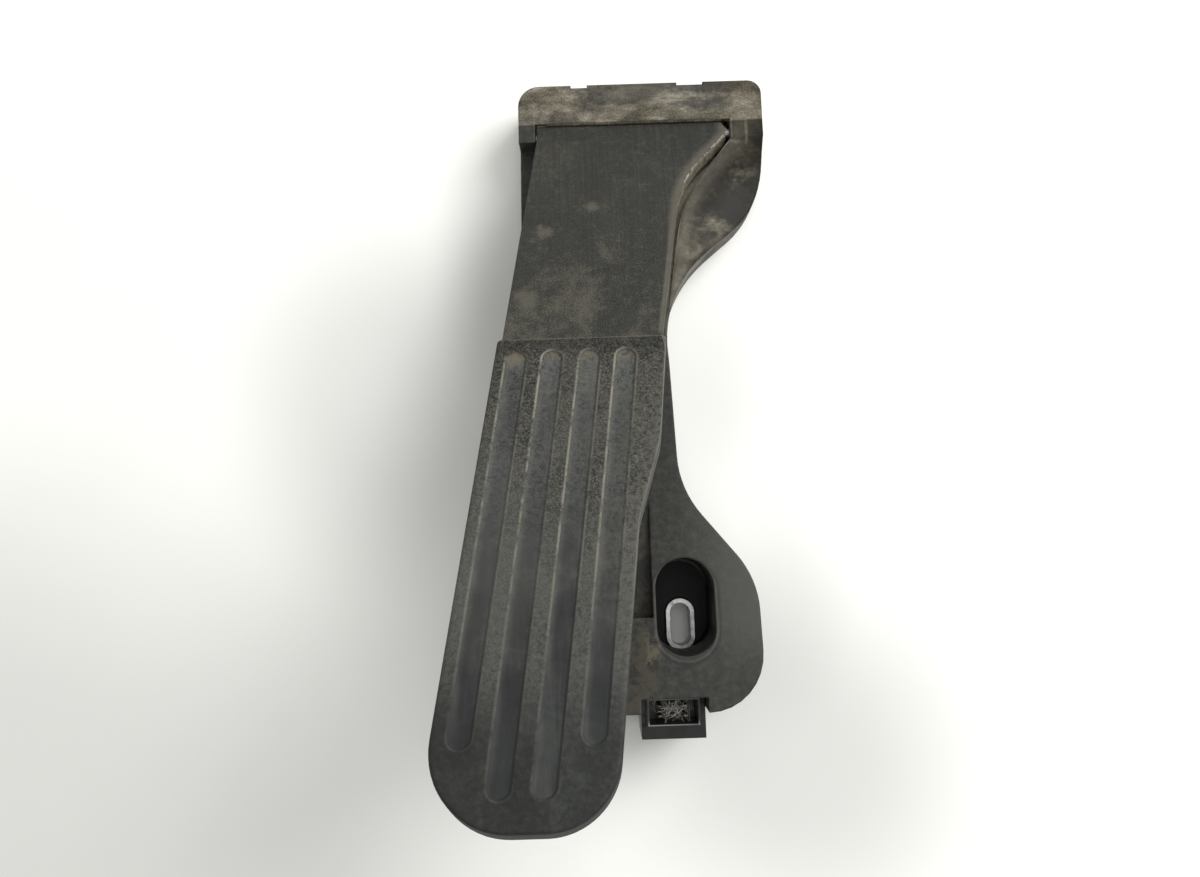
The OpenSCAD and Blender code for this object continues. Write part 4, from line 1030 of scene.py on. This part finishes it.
def lint():
    """The tuft of pale fibres caught in the connector's socket."""
    fibres, pieces, inset = 74, 8, 0.0004
    x0, x1, y0, y1 = SOCKET
    verts, faces = [], []
    for _ in range(fibres):
        x = rng.gauss(0.0062, 0.0030)
        y = rng.gauss(-0.2434, 0.0016)
        z = rng.uniform(0.0240, 0.0345)
        turn = rng.gauss(math.pi * 0.5, 0.9)
        bend = rng.gauss(0, 160)
        length = rng.uniform(0.003, 0.0085)
        rise = rng.gauss(0.05, 0.30)
        points = []
        for j in range(pieces + 1):
            f = j / pieces - 0.5
            a = turn + bend * f * length
            px = x + math.cos(a) * f * length
            py = y + math.sin(a) * f * length
            px = min(max(px, x0 + inset), x1 - inset)
            py = min(max(py, y0 + inset), y1 - inset)
            # a hair's shift keeps points that the walls hold apart
            points.append((px + 1e-6 * j, py + 1.3e-6 * j, z + rise * f * length + 1e-6 * j))
        ring, sides = tube(points, rng.uniform(0.00003, 0.00007), 5)
        base = len(verts)
        verts += ring
        faces += [tuple(base + q for q in face) for face in sides]
    o = mesh_object("socket_lint", verts, faces, LINT)
    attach(o, "base")


tread_pad()
hinge_dirt()
lint()
# mean radius, wire and turns
spring("outer_return_spring", "outer_spring", 0.0088, 0.0018, 5.5)
spring("inner_return_spring", "inner_spring", 0.0052, 0.0012, 7.5)


# stage, light and camera, with the camera as solved from the photograph's outline
SENSOR_MM = 36
PHOTO_WIDTH_PX = 1200
FOCAL_PX = 970
CAMERA_TILT = math.radians(6.7)
CAMERA_ROLL = math.radians(1.8)
CAMERA_PLACE = (-0.0195, -0.1808, 0.4229)


def camera():
    t, r = CAMERA_TILT, CAMERA_ROLL
    rot = Matrix((
        (math.cos(r), math.sin(r), 0),
        (-math.sin(r) * math.cos(t), math.cos(r) * math.cos(t), -math.sin(t)),
        (-math.sin(r) * math.sin(t), math.cos(r) * math.sin(t), math.cos(t))))
    data = bpy.data.cameras.new("camera")
    data.sensor_width = SENSOR_MM
    data.sensor_fit = "HORIZONTAL"
    data.lens = SENSOR_MM * FOCAL_PX / PHOTO_WIDTH_PX
    data.clip_start = 0.01
    data.clip_end = 20
    cam = bpy.data.objects.new("camera", data)
    cam.matrix_world = Matrix.Translation(CAMERA_PLACE) @ rot.to_4x4()
    bpy.context.collection.objects.link(cam)
    bpy.context.scene.camera = cam


# painted shadows on the table: centre x, y, half widths, share of them that is darkest, and by how much
PAINTED_SHADOWS = ((-0.36, -0.34, 0.38, 0.26, 0.45, 0.27), (-0.11, -0.11, 0.09, 0.10, 0.3, 0.20),
        (0.06, -0.27, 0.10, 0.10, 0.2, 0.26), (-0.064, -0.050, 0.034, 0.075, 0.1, 0.24),
        (0.058, -0.205, 0.035, 0.06, 0.1, 0.10), (0.036, -0.107, 0.03, 0.05, 0.1, 0.08))


def floor():
    """White table, with painted shadows where the light falls off."""
    k = Mat("table")
    x, y, _ = k.xyz()
    shade = 1.0
    for cx, cy, rx, ry, inner, depth in PAINTED_SHADOWS:
        dx = k.math("DIVIDE", k.sub(x, cx), rx)
        dy = k.math("DIVIDE", k.sub(y, cy), ry)
        d = k.hypot(dx, dy)
        shade = k.mul(shade, k.step(d, 1.0, inner, 1.0, 1.0 - depth))
    paper = k.ramp(k.noise(6, 3, 0.5), [(0.3, rgb(244, 244, 242, 1)), (0.7, rgb(250, 250, 248, 1))])
    k.done(k.mix(shade, (0, 0, 0, 1), paper), 0.6, spec=0.2)
    me = bpy.data.meshes.new("table")
    bm = bmesh.new()
    bmesh.ops.create_grid(bm, x_segments=8, y_segments=8, size=3.0)
    bm.to_mesh(me)
    bm.free()
    o = place("table", me, k.m)
    # just under the part, so that the two don't share a plane
    o.location = (0, 0, -0.0002)


def area(name, loc, target, size, power, colour):
    data = bpy.data.lights.new(name, "AREA")
    data.shape = "SQUARE"
    data.size = size
    data.energy = power
    data.color = colour
    o = bpy.data.objects.new(name, data)
    o.location = loc
    o.rotation_euler = (Vector(target) - Vector(loc)).to_track_quat("-Z", "Y").to_euler()
    bpy.context.collection.objects.link(o)


def lights():
    world = bpy.data.worlds.new("world")
    world.use_nodes = True
    shaders, links = world.node_tree.nodes, world.node_tree.links
    soft = shaders["Background"]
    soft.inputs[0].default_value = (0.985, 0.985, 0.945, 1)
    soft.inputs[1].default_value = 0.51
    # white to the camera and in reflections, plain soft light to everything else
    white = shaders.new("ShaderNodeBackground")
    white.inputs[0].default_value = (1, 1, 1, 1)
    white.inputs[1].default_value = 1.0
    path = shaders.new("ShaderNodeLightPath")
    ray = path.outputs["Is Camera Ray"]
    for kind in ("Is Glossy Ray", "Is Transmission Ray"):
        either = shaders.new("ShaderNodeMath")
        either.operation = "MAXIMUM"
        links.new(ray, either.inputs[0])
        links.new(path.outputs[kind], either.inputs[1])
        ray = either.outputs[0]
    mix = shaders.new("ShaderNodeMixShader")
    links.new(ray, mix.inputs[0])
    links.new(soft.outputs[0], mix.inputs[1])
    links.new(white.outputs[0], mix.inputs[2])
    links.new(mix.outputs[0], shaders["World Output"].inputs["Surface"])
    bpy.context.scene.world = world
    area("window", (1.5, 0.9, 1.5), (0, -0.1, 0), 1.4, 47, (1.0, 1.0, 0.985))
    area("ceiling", (0.2, 0.1, 2.2), (0, -0.1, 0), 2.0, 14, (1.0, 1.0, 0.98))


camera()
floor()
lights()
bpy.context.scene.view_settings.view_transform = "Standard"
